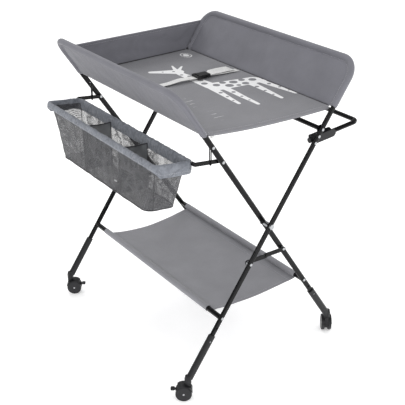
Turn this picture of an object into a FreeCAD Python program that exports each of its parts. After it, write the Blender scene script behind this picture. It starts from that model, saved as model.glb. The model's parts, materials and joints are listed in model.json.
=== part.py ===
import FreeCAD, Part
import math
import os

# Folding changing table: two U-shaped tube frames crossed on one pivot, a cloth tray between
# their tops, a cloth shelf between their lower legs, a hanging basket, a towel rail and four
# braked casters on height-adjustable feet. Millimetres, +Z up, X across the scissor, Y along it.
# Everything is drawn with the scissor pivot above the origin, and moved at the very end so that
# the origin lies at floor level under the middle of the whole object.

V = FreeCAD.Vector
Y_AXIS = V(0, 1, 0)
Z_AXIS = V(0, 0, 1)

# ---------------------------------------------------------------- driving dimensions
# Scissor frames
pivot_height = 496.0        # scissor pivot above the floor
outer_lean = 34.67          # outer frame from the vertical, degrees, top towards +X
inner_lean = 33.8           # inner frame from the vertical, degrees, top towards -X
outer_y = 375.0             # middle plane of an outer leg
frame_gap = 29.0            # outer leg's middle plane to inner leg's middle plane
leg_width = 17.0            # flat-oval leg tube across, in the frame's plane
leg_thickness = 10.0        # flat-oval leg tube along Y
leg_wall = 1.2
leg_foot_end = 455.0        # pivot to the leg tube's lower end, along the leg
floor_rise = 326.0          # scissor pivot to the top of the tray floor
floor_height = pivot_height + floor_rise
wing_reach = 545.0          # pivot to the middle of the hoop's top tube, along the leg
hoop_radius = 7.5           # round tube inside the side wings
hoop_wall = 1.2
hoop_bend = 56.0            # corner radius of the hoop's middle line
crossbar_radius = 7.0
crossbar_reach = 322.0      # pivot to the crossbar under the tray, along the outer leg
crossbar_flange = 12.0      # radius of the crossbar's end flange
flange_thickness = 3.0

# Fasteners
rivet_radius = 2.5
rivet_head_radius = 4.5
rivet_head = 2.0
pivot_bolt_radius = 4.0
pivot_head_radius = 8.0
pivot_head = 5.0
hole_clearance = 0.05       # radial, every rivet, bolt and axle in its hole
side_clearance = 0.5        # between faces that turn or slide past each other

# Folding lock links under the pivot
link_reach = 128.0          # pivot to a link's leg end, along the leg
link_width = 14.0
link_thickness = 2.5
link_bush_radius = 6.0

# Cloth tray
cloth = 2.0                 # cloth around a hoop tube
wing_thickness = 7.0        # side wing between its tubes
tray_cloth = 4.0            # floor panel
seam_before_belt = 8.0      # buckle's near side to the sewn line across the floor
seam_width = 1.6
seam_depth = 1.0
back_height = 94.0          # back wing above the tray floor
back_thickness = 6.0
cloth_clearance = 3.0       # cloth pieces that meet along a seam
belt_width = 25.0
belt_thickness = 1.6
belt_gap = 0.4              # belt above the floor cloth, and buckle above the belt
belt_tuck = 2.0             # belt inside the buckle's end
belt_y = 72.0

# Buckle on the belt
buckle_x = 60.0             # socket mouth from the pivot plane
socket_length = 32.0
buckle_width = 34.0
buckle_height = 11.0
prong_length = 20.0
buckle_wall = 2.2
buckle_clearance = 0.5
tongue_length = 18.0
tongue_slot = 6.0           # slot for the belt, along it
tongue_slot_start = 14.0    # tongue's shoulder to the slot's far side
prong_width = 5.0

# Cloth shelf and its two tubes
shelf_tube_radius = 8.0
outer_shelf_reach = 310.0   # pivot to the shelf tube on the outer legs
inner_shelf_reach = 306.0   # pivot to the shelf tube on the inner legs
shelf_inset = 36.0          # inner leg's middle plane to the shelf cloth's edge
shelf_length = 2 * (outer_y - frame_gap - shelf_inset)
shelf_sag = 22.0
shelf_cloth_thickness = 1.6

# Basket
basket_pivot_reach = 282.0  # pivot to the basket arm's rivet, along the inner leg
basket_tilt = 6.0           # arms, degrees above level, outwards
basket_gap = 86.0           # arm rivet to the rim's inner tube
basket_width = 116.0        # rim, middle of inner tube to middle of outer tube
basket_length = 636.0       # rim, middle of end tube to middle of end tube
basket_depth = 158.0
basket_end_slope = 60.0     # each end leans in by this much at the bottom
rim_radius = 5.0
basket_cloth = 2.0
basket_band = 24.0          # height of the cloth band below the rim
arm_width = 12.0
arm_thickness = 3.0
divider_count = 2
divider_drop = 4.0          # bag's top edge to a divider's
hook_wire = 1.7             # radius of the wire hook that the arm rests in
hook_drop_x = 33.0          # arm rivet to the hook, outwards
hook_rise = 62.0            # hook's bottom to its rivet on the leg, along the leg
hook_plate = 9.0            # height of the plate that the rivet holds
hook_bridge = 4.0           # height of the piece that joins wire and plate

# Towel rail
rail_radius = 7.0
rail_wall = 1.2
rail_pivot_reach = 290.0    # scissor pivot to the level of the rail's rivet, along the outer leg
rail_pivot_out = 60.0       # leg's middle line to the rail's rivet, outwards
rail_arm_out = 120.0        # rivet to the middle of the rail
rail_stub = 72.0            # rivet to the inner end of the arm
rail_tilt = 6.0             # degrees above level, outwards
rail_bend = 17.0
cap_length = 10.0
cap_wall = 1.2
bracket_wall = 3.0
bracket_web = 34.0          # length of the web over the arm
cheek_past_rivet = 16.0     # bracket's cheeks beyond the rail's rivet
cheek_inward = 10.0         # and inwards of the leg's middle line
bracket_room = 4.0          # height inside the bracket beyond the rail

# Height-adjustable feet
foot_top_reach = 368.5      # pivot to the foot's upper end, along the leg
foot_end_reach = 516.0      # pivot to the foot's lower end, along the leg
foot_width = 23.0
foot_thickness = 17.0
foot_clearance = 0.1        # leg tube in its foot, each side
foot_travel = 45.0
neck_length = 10.0          # cone between the foot and its caster boss
button_below_top = 20.0
button_radius = 3.0
button_base = 4.2
button_proud = 2.0
button_clearance = 0.2
groove_clearance = 0.4

# Casters
wheel_radius = 25.0
wheel_width = 11.0
tyre_rounding = 2.5
wheel_gap = 11.0            # between the two wheels of a caster
caster_trail = 13.0         # stem's axis to the axle
axle_radius = 3.0
stem_radius = 5.5
stem_length = 16.0
boss_radius = 10.5
boss_height = 15.0
boss_gap = 2.0              # caster's shoulder to the foot's boss
shoulder_rise = 6.0         # top of the wheels to the top of the housing
hood_radius = 28.0
hood_wall = 2.5
pedal_length = 13.0
pedal_width = 16.0
toe_gap = 1.5               # wheel's rim to the pedal's toe
pedal_toe = 4.0             # thickness of the toe plate
pedal_thickness = 6.0
pedal_lever_width = 4.0
pedal_pin_radius = 2.0
pedal_swing_room = 3.0
# heading of each caster's trail, degrees from +X towards +Y
caster_heading = {
    "outer_near": 145.0,
    "outer_far": -35.0,
    "inner_near": 55.0,
    "inner_far": -125.0,
}

# ---------------------------------------------------------------- derived places
inner_y = outer_y - frame_gap
lean = {"outer": outer_lean, "inner": -inner_lean}
leg_y = {"outer": outer_y, "inner": inner_y}
end_sign = {"near": -1, "far": 1}
shoulder_height = 2 * wheel_radius + shoulder_rise  # top of a caster's housing
boss_bottom = shoulder_height + boss_gap
sleeve_radius = hoop_radius + cloth


def crease_reach(frame):
    """Distance along the leg from the pivot to the tray floor's level."""
    return (floor_height - pivot_height) / math.cos(math.radians(lean[frame]))


def leg_x(frame, height):
    """X of a frame's middle line at a height above the floor."""
    return math.tan(math.radians(lean[frame])) * (height - pivot_height)


def on_leg(frame, reach):
    """Point of a frame's middle line, seen along Y; reach is negative below the pivot."""
    angle = math.radians(lean[frame])
    return V(reach * math.sin(angle), 0, pivot_height + reach * math.cos(angle))


def lean_over(shape, frame):
    """Take a shape drawn on an upright frame, pivot at the origin, to its leaning place."""
    shape.rotate(V(0, 0, 0), Y_AXIS, lean[frame])
    shape.translate(V(0, 0, pivot_height))
    return shape


def box(x, y, z, centre):
    return Part.makeBox(x, y, z, centre - V(x / 2, y / 2, z / 2))


def cylinder_y(radius, y_low, y_high, x, z):
    return Part.makeCylinder(radius, y_high - y_low, V(x, y_low, z), Y_AXIS)


def flat_oval(width, thickness, z_low, z_high, y):
    """Upright bar with a flat-oval section: round ends across X, flats facing Y."""
    radius = thickness / 2
    core = box(width - thickness, thickness, z_high - z_low, V(0, y, (z_low + z_high) / 2))
    ends = [Part.makeCylinder(radius, z_high - z_low, V(side * (width / 2 - radius), y, z_low))
            for side in (-1, 1)]
    return core.fuse(ends).removeSplitter()


def bent_path(points, radius):
    """Wire along straight runs with a tangent arc of one radius at each inner point."""
    edges = []
    start = points[0]
    for before, corner, after in zip(points, points[1:], points[2:]):
        back = (before - corner).normalize()
        ahead = (after - corner).normalize()
        half_turn = (math.pi - back.getAngle(ahead)) / 2
        reach = radius * math.tan(half_turn)
        first = corner + back * reach
        last = corner + ahead * reach
        towards = (back + ahead).normalize()
        centre_distance = radius / math.cos(half_turn)
        middle = corner + towards * (centre_distance - radius)
        edges.append(Part.LineSegment(start, first).toShape())
        edges.append(Part.Arc(first, middle, last).toShape())
        start = last
    edges.append(Part.LineSegment(start, points[-1]).toShape())
    return Part.Wire(edges)


def rod(points, bend, radius):
    """Solid round bar along a bent path."""
    path = bent_path(points, bend)
    direction = (points[1] - points[0]).normalize()
    circle = Part.Wire([Part.makeCircle(radius, points[0], direction)])
    return path.makePipeShell([circle], True, True)


def tube(points, bend, radius, wall):
    return rod(points, bend, radius).cut(rod(points, bend, radius - wall))


def hoop_points(frame):
    y = leg_y[frame]
    low = crease_reach(frame)
    return [V(0, -y, low), V(0, -y, wing_reach), V(0, y, wing_reach), V(0, y, low)]


def rivet(frame, reach, end, inner_length, inner_radius=0.0, outer_head=True):
    """Rivet through a leg along Y: a head outside, and a shank that runs inwards."""
    sign = end_sign[end]
    y_out = sign * (leg_y[frame] + leg_thickness / 2)
    y_in = y_out - sign * (leg_thickness + inner_length)
    low, high = sorted((y_out, y_in))
    body = cylinder_y(rivet_radius, low, high, 0, reach)
    if outer_head:
        head = [y_out, y_out + sign * rivet_head]
        body = body.fuse(cylinder_y(rivet_head_radius, min(head), max(head), 0, reach))
    if inner_radius:
        head = [y_in, y_in - sign * rivet_head]
        body = body.fuse(cylinder_y(inner_radius, min(head), max(head), 0, reach))
    return body.removeSplitter()


# ---------------------------------------------------------------- legs, hoops, crossbar
def leg(frame, end, holes):
    """Flat-oval leg tube with cross holes: holes is a list of (reach, radius, both walls)."""
    sign = end_sign[end]
    y = sign * leg_y[frame]
    top = crease_reach(frame)
    outside = flat_oval(leg_width, leg_thickness, -leg_foot_end, top, y)
    inside = flat_oval(leg_width - 2 * leg_wall, leg_thickness - 2 * leg_wall,
                       -leg_foot_end, top, y)
    shape = outside.cut(inside)
    for reach, radius, both in holes:
        y_low, y_high = sorted((y, y + sign * leg_thickness))
        if both:
            y_low, y_high = y - leg_thickness, y + leg_thickness
        shape = shape.cut(cylinder_y(radius, y_low, y_high, 0, reach))
    return lean_over(shape, frame)


button_reach = foot_top_reach + button_below_top


def leg_holes(frame):
    rivet_hole = rivet_radius + hole_clearance
    shelf_reach = outer_shelf_reach if frame == "outer" else inner_shelf_reach
    holes = [
        (0, pivot_bolt_radius + hole_clearance, True),
        (-link_reach, rivet_hole, True),
        (-shelf_reach, rivet_hole, True),
        (-button_reach, button_radius + button_clearance, False),
        (-button_reach + foot_travel, button_radius + button_clearance, False),
    ]
    if frame == "outer":
        holes += [(crossbar_reach, rivet_hole, True)]
        holes += [(rail_pivot_reach - step, rivet_hole, True) for step in bracket_rivets]
    else:
        holes += [(basket_pivot_reach, rivet_hole, True)]
        holes += [(basket_pivot_reach + hook_rise, rivet_hole, True)]
    return holes


bracket_rivets = (-9.0, 13.0)


def hoop(frame):
    return lean_over(tube(hoop_points(frame), hoop_bend, hoop_radius, hoop_wall), frame)


def wing(frame):
    """Side wing: a cloth pocket over the hoop, thick along its tubes and flat between them."""
    y = leg_y[frame]
    low = crease_reach(frame)
    sleeve = rod(hoop_points(frame), hoop_bend, sleeve_radius)
    flat = box(wing_thickness, 2 * y, wing_reach - low, V(0, 0, (low + wing_reach) / 2))
    corner_block = box(wing_thickness, 2 * hoop_bend, 2 * hoop_bend, V(0, 0, 0))
    for side in (-1, 1):
        corner = V(0, side * y, wing_reach)
        centre = V(0, side * (y - hoop_bend), wing_reach - hoop_bend)
        square = corner_block.copy()
        square.translate(corner)
        disc = Part.makeCylinder(hoop_bend, wing_thickness,
                                 centre - V(wing_thickness / 2, 0, 0), V(1, 0, 0))
        flat = flat.cut(square.cut(disc))
    shape = sleeve.fuse(flat)
    shape = shape.cut(rod(hoop_points(frame), hoop_bend, hoop_radius))
    return lean_over(shape, frame)


def crossbar():
    """Bar between the outer legs under the tray, with a flange riveted to each leg."""
    reach_y = outer_y - leg_thickness / 2
    bar = cylinder_y(crossbar_radius, -reach_y, reach_y, 0, crossbar_reach)
    for side in (-1, 1):
        face = [side * reach_y, side * (reach_y - flange_thickness)]
        bar = bar.fuse(cylinder_y(crossbar_flange, min(face), max(face), 0, crossbar_reach))
    bore = cylinder_y(crossbar_radius - hoop_wall, -reach_y - 1, reach_y + 1, 0, crossbar_reach)
    return lean_over(bar.removeSplitter().cut(bore), "outer")


def shelf_tube(frame, reach):
    reach_y = leg_y[frame] - leg_thickness / 2
    outside = cylinder_y(shelf_tube_radius, -reach_y, reach_y, 0, -reach)
    inside = cylinder_y(shelf_tube_radius - leg_wall, -reach_y, reach_y, 0, -reach)
    return lean_over(outside.cut(inside), frame)


# ---------------------------------------------------------------- cloth tray
def tray_floor():
    """Cloth floor between the two creases, with a sewn line across it in front of the belt."""
    left = leg_x("inner", floor_height) + sleeve_radius + cloth_clearance
    right = leg_x("outer", floor_height) - sleeve_radius - cloth_clearance
    left_y = inner_y - leg_thickness / 2 - cloth_clearance
    right_y = outer_y - leg_thickness / 2 - cloth_clearance
    z = floor_height - tray_cloth
    corners = [V(left, -left_y, z), V(right, -right_y, z), V(right, right_y, z),
               V(left, left_y, z)]
    face = Part.Face(Part.makePolygon(corners + corners[:1]))
    panel = face.extrude(V(0, 0, tray_cloth))
    seam_y = belt_y - buckle_width / 2 - seam_before_belt
    return panel.cut(box(right - left + 2, seam_width, 2 * seam_depth,
                         V((left + right) / 2, seam_y, floor_height)))


def back_wing():
    """Low cloth panel across the far edge, from one side wing to the other."""
    low = floor_height + cloth_clearance
    high = floor_height + back_height
    reach = sleeve_radius + cloth_clearance
    left_low = leg_x("inner", low) + reach
    right_low = leg_x("outer", low) - reach
    left_high = leg_x("inner", high) + reach
    right_high = leg_x("outer", high) - reach
    y = (inner_y + outer_y) / 2 - back_thickness / 2
    corners = [V(left_low, y, low), V(right_low, y, low), V(right_high, y, high),
               V(left_high, y, high)]
    panel = Part.Face(Part.makePolygon(corners + corners[:1])).extrude(V(0, back_thickness, 0))
    turn = math.degrees(math.atan2(frame_gap, right_low - left_low))
    panel.rotate(V(0, (inner_y + outer_y) / 2, 0), Z_AXIS, turn)
    return panel


# ---------------------------------------------------------------- belt and buckle
belt_level = floor_height + belt_gap
buckle_low = belt_level + belt_thickness + belt_gap


def belt(side):
    """Webbing from a crease to the buckle, flat on the tray floor."""
    edge = leg_x("inner", floor_height) if side < 0 else leg_x("outer", floor_height)
    outer_end = edge - side * (sleeve_radius + 2 * cloth_clearance)
    inner_end = buckle_x + side * belt_tuck
    low, high = sorted((outer_end, inner_end))
    return Part.makeBox(high - low, belt_width, belt_thickness,
                        V(low, belt_y - belt_width / 2, belt_level))


def buckle_socket():
    """Female half: a hollow housing with side windows, mouth towards -X."""
    body = Part.makeBox(socket_length, buckle_width, buckle_height,
                        V(buckle_x, belt_y - buckle_width / 2, buckle_low))
    edges = [e for e in body.Edges if abs(e.tangentAt(e.FirstParameter).x) > 0.9]
    body = body.makeFillet(buckle_height / 4, edges)
    pocket = Part.makeBox(socket_length - buckle_wall, buckle_width - 2 * buckle_wall,
                          buckle_height - 2 * buckle_wall,
                          V(buckle_x - 0.01, belt_y - buckle_width / 2 + buckle_wall,
                            buckle_low + buckle_wall))
    window = Part.makeBox(prong_length / 2, buckle_width + 2, buckle_height - 2 * buckle_wall,
                          V(buckle_x + prong_length / 2, belt_y - buckle_width / 2 - 1,
                            buckle_low + buckle_wall))
    return body.cut(pocket).cut(window)


def buckle_tongue():
    """Male half: a crossbar block with a centre tongue and two side prongs."""
    gap = buckle_clearance
    low = buckle_low + buckle_wall + gap
    height = buckle_height - 2 * (buckle_wall + gap)
    inside = buckle_width - 2 * (buckle_wall + gap)
    block = Part.makeBox(tongue_length, buckle_width, buckle_height,
                         V(buckle_x - gap - tongue_length, belt_y - buckle_width / 2, buckle_low))
    slot = Part.makeBox(tongue_slot, belt_width, buckle_height + 2,
                        V(buckle_x - gap - tongue_slot_start, belt_y - belt_width / 2,
                          buckle_low - 1))
    body = block.cut(slot)
    for y in (belt_y - inside / 2, belt_y - prong_width / 2, belt_y + inside / 2 - prong_width):
        body = body.fuse(Part.makeBox(prong_length + gap, prong_width, height,
                                      V(buckle_x - gap, y, low)))
    return body.removeSplitter()


# ---------------------------------------------------------------- shelf
def shelf_cloth():
    """Sagging sling between the shelf tubes, with a sleeve around each of them."""
    left = on_leg("outer", -outer_shelf_reach)
    right = on_leg("inner", -inner_shelf_reach)
    start = V(left.x, -shelf_length / 2, left.z - shelf_tube_radius)
    end = V(right.x, -shelf_length / 2, right.z - shelf_tube_radius)
    middle = (start + end) / 2 - V(0, 0, shelf_sag)
    drop = V(0, 0, -shelf_cloth_thickness)
    upper = Part.Arc(start, middle, end).toShape()
    lower = Part.Arc(end + drop, middle + drop, start + drop).toShape()
    sides = [Part.LineSegment(end, end + drop).toShape(),
             Part.LineSegment(start + drop, start).toShape()]
    wire = Part.Wire([upper, sides[0], lower, sides[1]])
    sling = Part.Face(wire).extrude(V(0, shelf_length, 0))
    for point in (left, right):
        sleeve = cylinder_y(shelf_tube_radius + shelf_cloth_thickness, -shelf_length / 2,
                            shelf_length / 2, point.x, point.z)
        sling = sling.fuse(sleeve)
    for point in (left, right):
        sling = sling.cut(cylinder_y(shelf_tube_radius + hole_clearance, -shelf_length,
                                     shelf_length, point.x, point.z))
    return sling.removeSplitter()


# ---------------------------------------------------------------- lock links
link_middle_y = (outer_y + inner_y) / 2


def link_layer(frame, end):
    """Low and high Y of a link, beside the leg that carries it."""
    sign = end_sign[end]
    outwards = 1 if frame == "outer" else -1
    near_face = link_middle_y + outwards * side_clearance
    far_face = near_face + outwards * link_thickness
    return sorted((sign * near_face, sign * far_face))


def lock_link(frame, end):
    """Flat bar from its leg's rivet to the middle of the folding strut."""
    start = on_leg(frame, -link_reach)
    other = on_leg("inner" if frame == "outer" else "outer", -link_reach)
    middle = (start + other) / 2
    low, high = link_layer(frame, end)
    length = (middle - start).Length
    radius = link_width / 2
    bar = Part.makeBox(length, high - low, link_width, V(0, low, -radius))
    bar = bar.fuse([cylinder_y(radius, low, high, 0, 0),
                    cylinder_y(radius, low, high, length, 0)]).removeSplitter()
    bar = bar.cut(cylinder_y(rivet_radius + hole_clearance, low, high, 0, 0))
    if frame == "outer":
        sign = end_sign[end]
        face = high if sign > 0 else low
        head = sorted((face, face + sign * rivet_head))
        bar = bar.fuse(cylinder_y(rivet_head_radius, head[0], head[1], length, 0))
    along = middle - start
    bar.rotate(V(0, 0, 0), Y_AXIS, -math.degrees(math.atan2(along.z, along.x)))
    bar.translate(start)
    return bar.removeSplitter()


def link_rivet(frame, end):
    """Rivet through a leg, with a bush that stands its link off the leg and a head beyond it."""
    sign = end_sign[end]
    low, high = link_layer(frame, end)
    inwards = -sign if frame == "outer" else sign
    link_near, link_far = (low, high) if inwards > 0 else (high, low)
    leg_face = sign * leg_y[frame] + inwards * leg_thickness / 2
    leg_back = sign * leg_y[frame] - inwards * leg_thickness / 2
    gap = inwards * hole_clearance
    shank = sorted((leg_back, link_far + gap))
    bush = sorted((leg_face, link_near - gap))
    cap = sorted((link_far + gap, link_far + gap + inwards * 0.3))
    back = sorted((leg_back, leg_back - inwards * rivet_head))
    body = cylinder_y(rivet_radius, shank[0], shank[1], 0, -link_reach)
    body = body.fuse([cylinder_y(link_bush_radius, bush[0], bush[1], 0, -link_reach),
                      cylinder_y(rivet_head_radius, cap[0], cap[1], 0, -link_reach),
                      cylinder_y(rivet_head_radius, back[0], back[1], 0, -link_reach)])
    return body.removeSplitter()


# ---------------------------------------------------------------- fasteners by frame
def pivot_bolt(end):
    """Shouldered bolt through both legs, with a spacer between them, fixed to the outer leg."""
    sign = end_sign[end]
    outside = sign * (outer_y + leg_thickness / 2)
    inside = sign * (inner_y - leg_thickness / 2 - side_clearance)
    shank = sorted((outside, inside))
    heads = [sorted((outside, outside + sign * pivot_head)),
             sorted((inside, inside - sign * pivot_head))]
    spacer = sorted((sign * (outer_y - leg_thickness / 2),
                     sign * (inner_y + leg_thickness / 2 + side_clearance)))
    body = cylinder_y(pivot_bolt_radius, shank[0], shank[1], 0, 0)
    body = body.fuse([cylinder_y(pivot_head_radius, low, high, 0, 0) for low, high in heads])
    body = body.fuse(cylinder_y(pivot_head_radius, spacer[0], spacer[1], 0, 0))
    return lean_over(body.removeSplitter(), "outer")


def outer_rivets():
    solids = []
    for end in end_sign:
        solids.append(link_rivet("outer", end))
        solids.append(rivet("outer", -outer_shelf_reach, end, 0))
        solids.append(rivet("outer", crossbar_reach, end, 0))
        for step in bracket_rivets:
            solids.append(rivet("outer", rail_pivot_reach - step, end, 0))
    return lean_over(Part.makeCompound(solids), "outer")


def inner_rivets():
    solids = []
    arm_side = arm_standoff + arm_thickness + side_clearance
    for end in end_sign:
        solids.append(link_rivet("inner", end))
        solids.append(rivet("inner", -inner_shelf_reach, end, 0))
        solids.append(rivet("inner", basket_pivot_reach, end, arm_side, rivet_head_radius))
        solids.append(rivet("inner", basket_pivot_reach + hook_rise, end, 0))
    return lean_over(Part.makeCompound(solids), "inner")


# ---------------------------------------------------------------- basket
arm_pivot = on_leg("inner", basket_pivot_reach)
arm_standoff = 2 * hook_wire + 2 * side_clearance
arm_y = inner_y - leg_thickness / 2 - arm_standoff - arm_thickness / 2


def basket_place(shape):
    """Basket parts are drawn level from the arm's rivet, outwards along -X, then tilted."""
    shape.rotate(V(0, 0, 0), Y_AXIS, basket_tilt)
    shape.translate(arm_pivot)
    return shape


rim_inner = -basket_gap
rim_outer = -basket_gap - basket_width
rim_end = basket_length / 2


def basket_frame():
    """Rim of round bar with a flat arm welded to each end, pierced for the arm's rivet."""
    bend = 14.0
    loop = [V(rim_inner, 0, 0), V(rim_inner, rim_end, 0), V(rim_outer, rim_end, 0),
            V(rim_outer, 0, 0)]
    half = rod(loop, bend, rim_radius)
    other = half.mirror(V(0, 0, 0), Y_AXIS)
    shape = half.fuse(other)
    for side in (-1, 1):
        y = side * arm_y
        arm = box(-rim_inner, arm_thickness, arm_width, V(rim_inner / 2, y, 0))
        eye = cylinder_y(arm_width / 2, y - arm_thickness / 2, y + arm_thickness / 2, 0, 0)
        foot = box(2 * rim_radius, abs(arm_y - rim_end) + arm_thickness / 2, 2 * rim_radius * 0.8,
                   V(rim_inner, side * (rim_end + arm_y + arm_thickness / 2) / 2, 0))
        hole = cylinder_y(rivet_radius + hole_clearance, y - arm_thickness, y + arm_thickness,
                          0, 0)
        shape = shape.fuse([arm.fuse(eye).cut(hole), foot])
    return basket_place(shape.removeSplitter())


def plumb(z):
    """How far a point below the rim moves towards the legs, so that the bag hangs plumb."""
    return -z * math.tan(math.radians(basket_tilt))


def tapered_block(inset, low, high):
    """Solid under the rim whose ends slope inwards; inset shrinks it on every side."""
    x_in = rim_inner - inset
    x_out = rim_outer + inset
    slope = basket_end_slope / basket_depth

    def half_length(z):
        return rim_end - inset + slope * z

    corners = [V(plumb(z), side * half_length(z), z)
               for z, side in ((high, -1), (high, 1), (low, 1), (low, -1))]
    face = Part.Face(Part.makePolygon(corners + corners[:1]))
    face.translate(V(x_out, 0, 0))
    return face.extrude(V(x_in - x_out, 0, 0))


bag_top = -rim_radius - 1.0


def basket_bag():
    """Open bag of mesh below the rim: four walls and a floor."""
    outside = tapered_block(rim_radius, -basket_depth, bag_top)
    inside = tapered_block(rim_radius + basket_cloth, -basket_depth + basket_cloth, bag_top + 1)
    return basket_place(outside.cut(inside))


def basket_band_cloth():
    """Gathered cloth band that wraps the rim and hangs outside the bag's mouth."""
    reach = rim_radius + basket_cloth
    low = bag_top - basket_band
    outside = Part.makeBox(basket_width + 2 * reach, basket_length + 2 * reach,
                           rim_radius + basket_cloth - low,
                           V(rim_outer - reach, -rim_end - reach, low))
    inside_gap = rim_radius + 0.3
    inside = Part.makeBox(basket_width + 2 * inside_gap, basket_length + 2 * inside_gap,
                          rim_radius + 0.3 - low + 1,
                          V(rim_outer - inside_gap, -rim_end - inside_gap, low - 1))
    mouth = Part.makeBox(basket_width - 2 * reach, basket_length - 2 * reach, 60.0,
                         V(rim_outer + reach, -rim_end + reach, -20.0))
    shape = outside.cut([inside, mouth])
    for side in (-1, 1):
        slot_y = side * (arm_y + rim_end) / 2
        width = abs(arm_y - rim_end) + arm_thickness + 2 * rim_radius + 2
        shape = shape.cut(box(4 * rim_radius, width, arm_width + 2,
                              V(rim_inner + rim_radius, slot_y, 0)))
    return basket_place(shape)


def basket_dividers():
    """Cloth walls across the bag that part it into compartments."""
    solids = []
    inner_width = basket_width - 2 * (rim_radius + basket_cloth) - 0.6
    top = bag_top - divider_drop
    bottom = -basket_depth + basket_cloth + 0.3
    for number in range(divider_count):
        y = basket_length * ((number + 1) / (divider_count + 1) - 0.5)
        middle = (rim_inner + rim_outer) / 2
        corners = [V(middle + side * inner_width / 2 + plumb(z), y - basket_cloth / 2, z)
                   for z, side in ((top, -1), (top, 1), (bottom, 1), (bottom, -1))]
        face = Part.Face(Part.makePolygon(corners + corners[:1]))
        solids.append(face.extrude(V(0, basket_cloth, 0)))
    return basket_place(Part.makeCompound(solids))


def basket_hook(end):
    """Wire hook hung from the leg: two drops and a loop under the arm that rests in it."""
    sign = end_sign[end]
    leg_rivet = on_leg("inner", basket_pivot_reach + hook_rise)
    tilt = math.radians(basket_tilt)
    under = arm_width / 2 / math.cos(tilt) + hook_wire + side_clearance
    x = arm_pivot.x - hook_drop_x
    z = arm_pivot.z + hook_drop_x * math.tan(tilt) - under
    spread = arm_thickness / 2 + hook_wire + side_clearance
    y = sign * arm_y
    top = leg_rivet.z - 6.0
    points = [V(x, y - spread, top), V(x, y - spread, z), V(x, y + spread, z),
              V(x, y + spread, top)]
    wire = rod(points, spread * 0.9, hook_wire)
    inner_face = sign * (inner_y - leg_thickness / 2)
    plate_y = sorted((inner_face, inner_face - sign * 2 * hook_wire))
    plate = Part.makeBox(leg_rivet.x - x + 2 * hook_wire, plate_y[1] - plate_y[0], hook_plate,
                         V(x - 2 * hook_wire, plate_y[0], top - 3.0))
    cross = sorted((y - spread, y + spread))
    bridge = Part.makeBox(4 * hook_wire, cross[1] - cross[0], hook_bridge,
                          V(x - 2 * hook_wire, cross[0], top - 1.0))
    return wire.fuse([plate, bridge]).removeSplitter()


# ---------------------------------------------------------------- towel rail
rail_pivot = on_leg("outer", rail_pivot_reach) + V(rail_pivot_out, 0, 0)
cap_radius = rail_radius + cap_wall
rail_y = outer_y - leg_thickness / 2 - bracket_wall - side_clearance - cap_radius


def rail_place(shape):
    """Rail parts are drawn level from the rail's rivet, outwards along +X, then tilted."""
    shape.rotate(V(0, 0, 0), Y_AXIS, -rail_tilt)
    shape.translate(rail_pivot)
    return shape


def towel_rail():
    """U of round tube, pierced near its ends for the rivets it turns on."""
    points = [V(-rail_stub, -rail_y, 0), V(rail_arm_out, -rail_y, 0), V(rail_arm_out, rail_y, 0),
              V(-rail_stub, rail_y, 0)]
    shape = tube(points, rail_bend, rail_radius, rail_wall)
    hole = rivet_radius + hole_clearance
    for side in (-1, 1):
        y = side * rail_y
        shape = shape.cut(cylinder_y(hole, y - 2 * rail_radius, y + 2 * rail_radius, 0, 0))
    return rail_place(shape)


def rail_caps():
    """Plastic caps over the two inner ends of the rail."""
    solids = []
    for side in (-1, 1):
        start = V(-rail_stub - 2.0, side * rail_y, 0)
        cap = Part.makeCylinder(cap_radius, cap_length, start, V(1, 0, 0))
        socket = Part.makeCylinder(rail_radius, cap_length, start + V(2.0, 0, 0), V(1, 0, 0))
        solids.append(cap.cut(socket))
    return rail_place(Part.makeCompound(solids))


def rail_bracket(end):
    """Moulded channel on the leg's inner face: two cheeks, a stop web over the arm, a rivet."""
    sign = end_sign[end]
    gap = side_clearance
    leg_face = outer_y - leg_thickness / 2
    outer_cheek = leg_face - bracket_wall / 2
    inner_cheek = rail_y - cap_radius - gap - bracket_wall / 2
    cheek_reach = rail_pivot_out + cheek_past_rivet
    height = 2 * rail_radius + 2 * bracket_wall + bracket_room
    cheek_middle = V(-cheek_reach / 2 + cheek_inward, 0, 0)
    shape = None
    for y in (outer_cheek, inner_cheek):
        cheek = box(cheek_reach, bracket_wall, height, cheek_middle + V(0, sign * y, 0))
        nose = cylinder_y(height / 2, sign * y - bracket_wall / 2, sign * y + bracket_wall / 2,
                          10.0, 0)
        cheek = cheek.fuse(nose)
        shape = cheek if shape is None else shape.fuse(cheek)
    web_y = sign * (outer_cheek + inner_cheek) / 2
    web_low = cap_radius + gap
    web = box(bracket_web, outer_cheek - inner_cheek, height / 2 - web_low,
              V(-cheek_reach + cheek_inward + bracket_web / 2, web_y, (height / 2 + web_low) / 2))
    shape = shape.fuse(web).removeSplitter()
    ends = sorted((sign * (outer_cheek + bracket_wall / 2),
                   sign * (inner_cheek - bracket_wall / 2)))
    pin = cylinder_y(rivet_radius, ends[0], ends[1], 0, 0)
    shape = shape.fuse(pin)
    placed = rail_place(shape.removeSplitter())
    upright = []
    for step in bracket_rivets:
        reach = rail_pivot_reach - step
        low, high = sorted((sign * (leg_face + 1), sign * (leg_face - bracket_wall - 1)))
        upright.append(cylinder_y(rivet_radius + hole_clearance, low, high, 0, reach))
    return placed.cut([lean_over(hole, "outer") for hole in upright])


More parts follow.
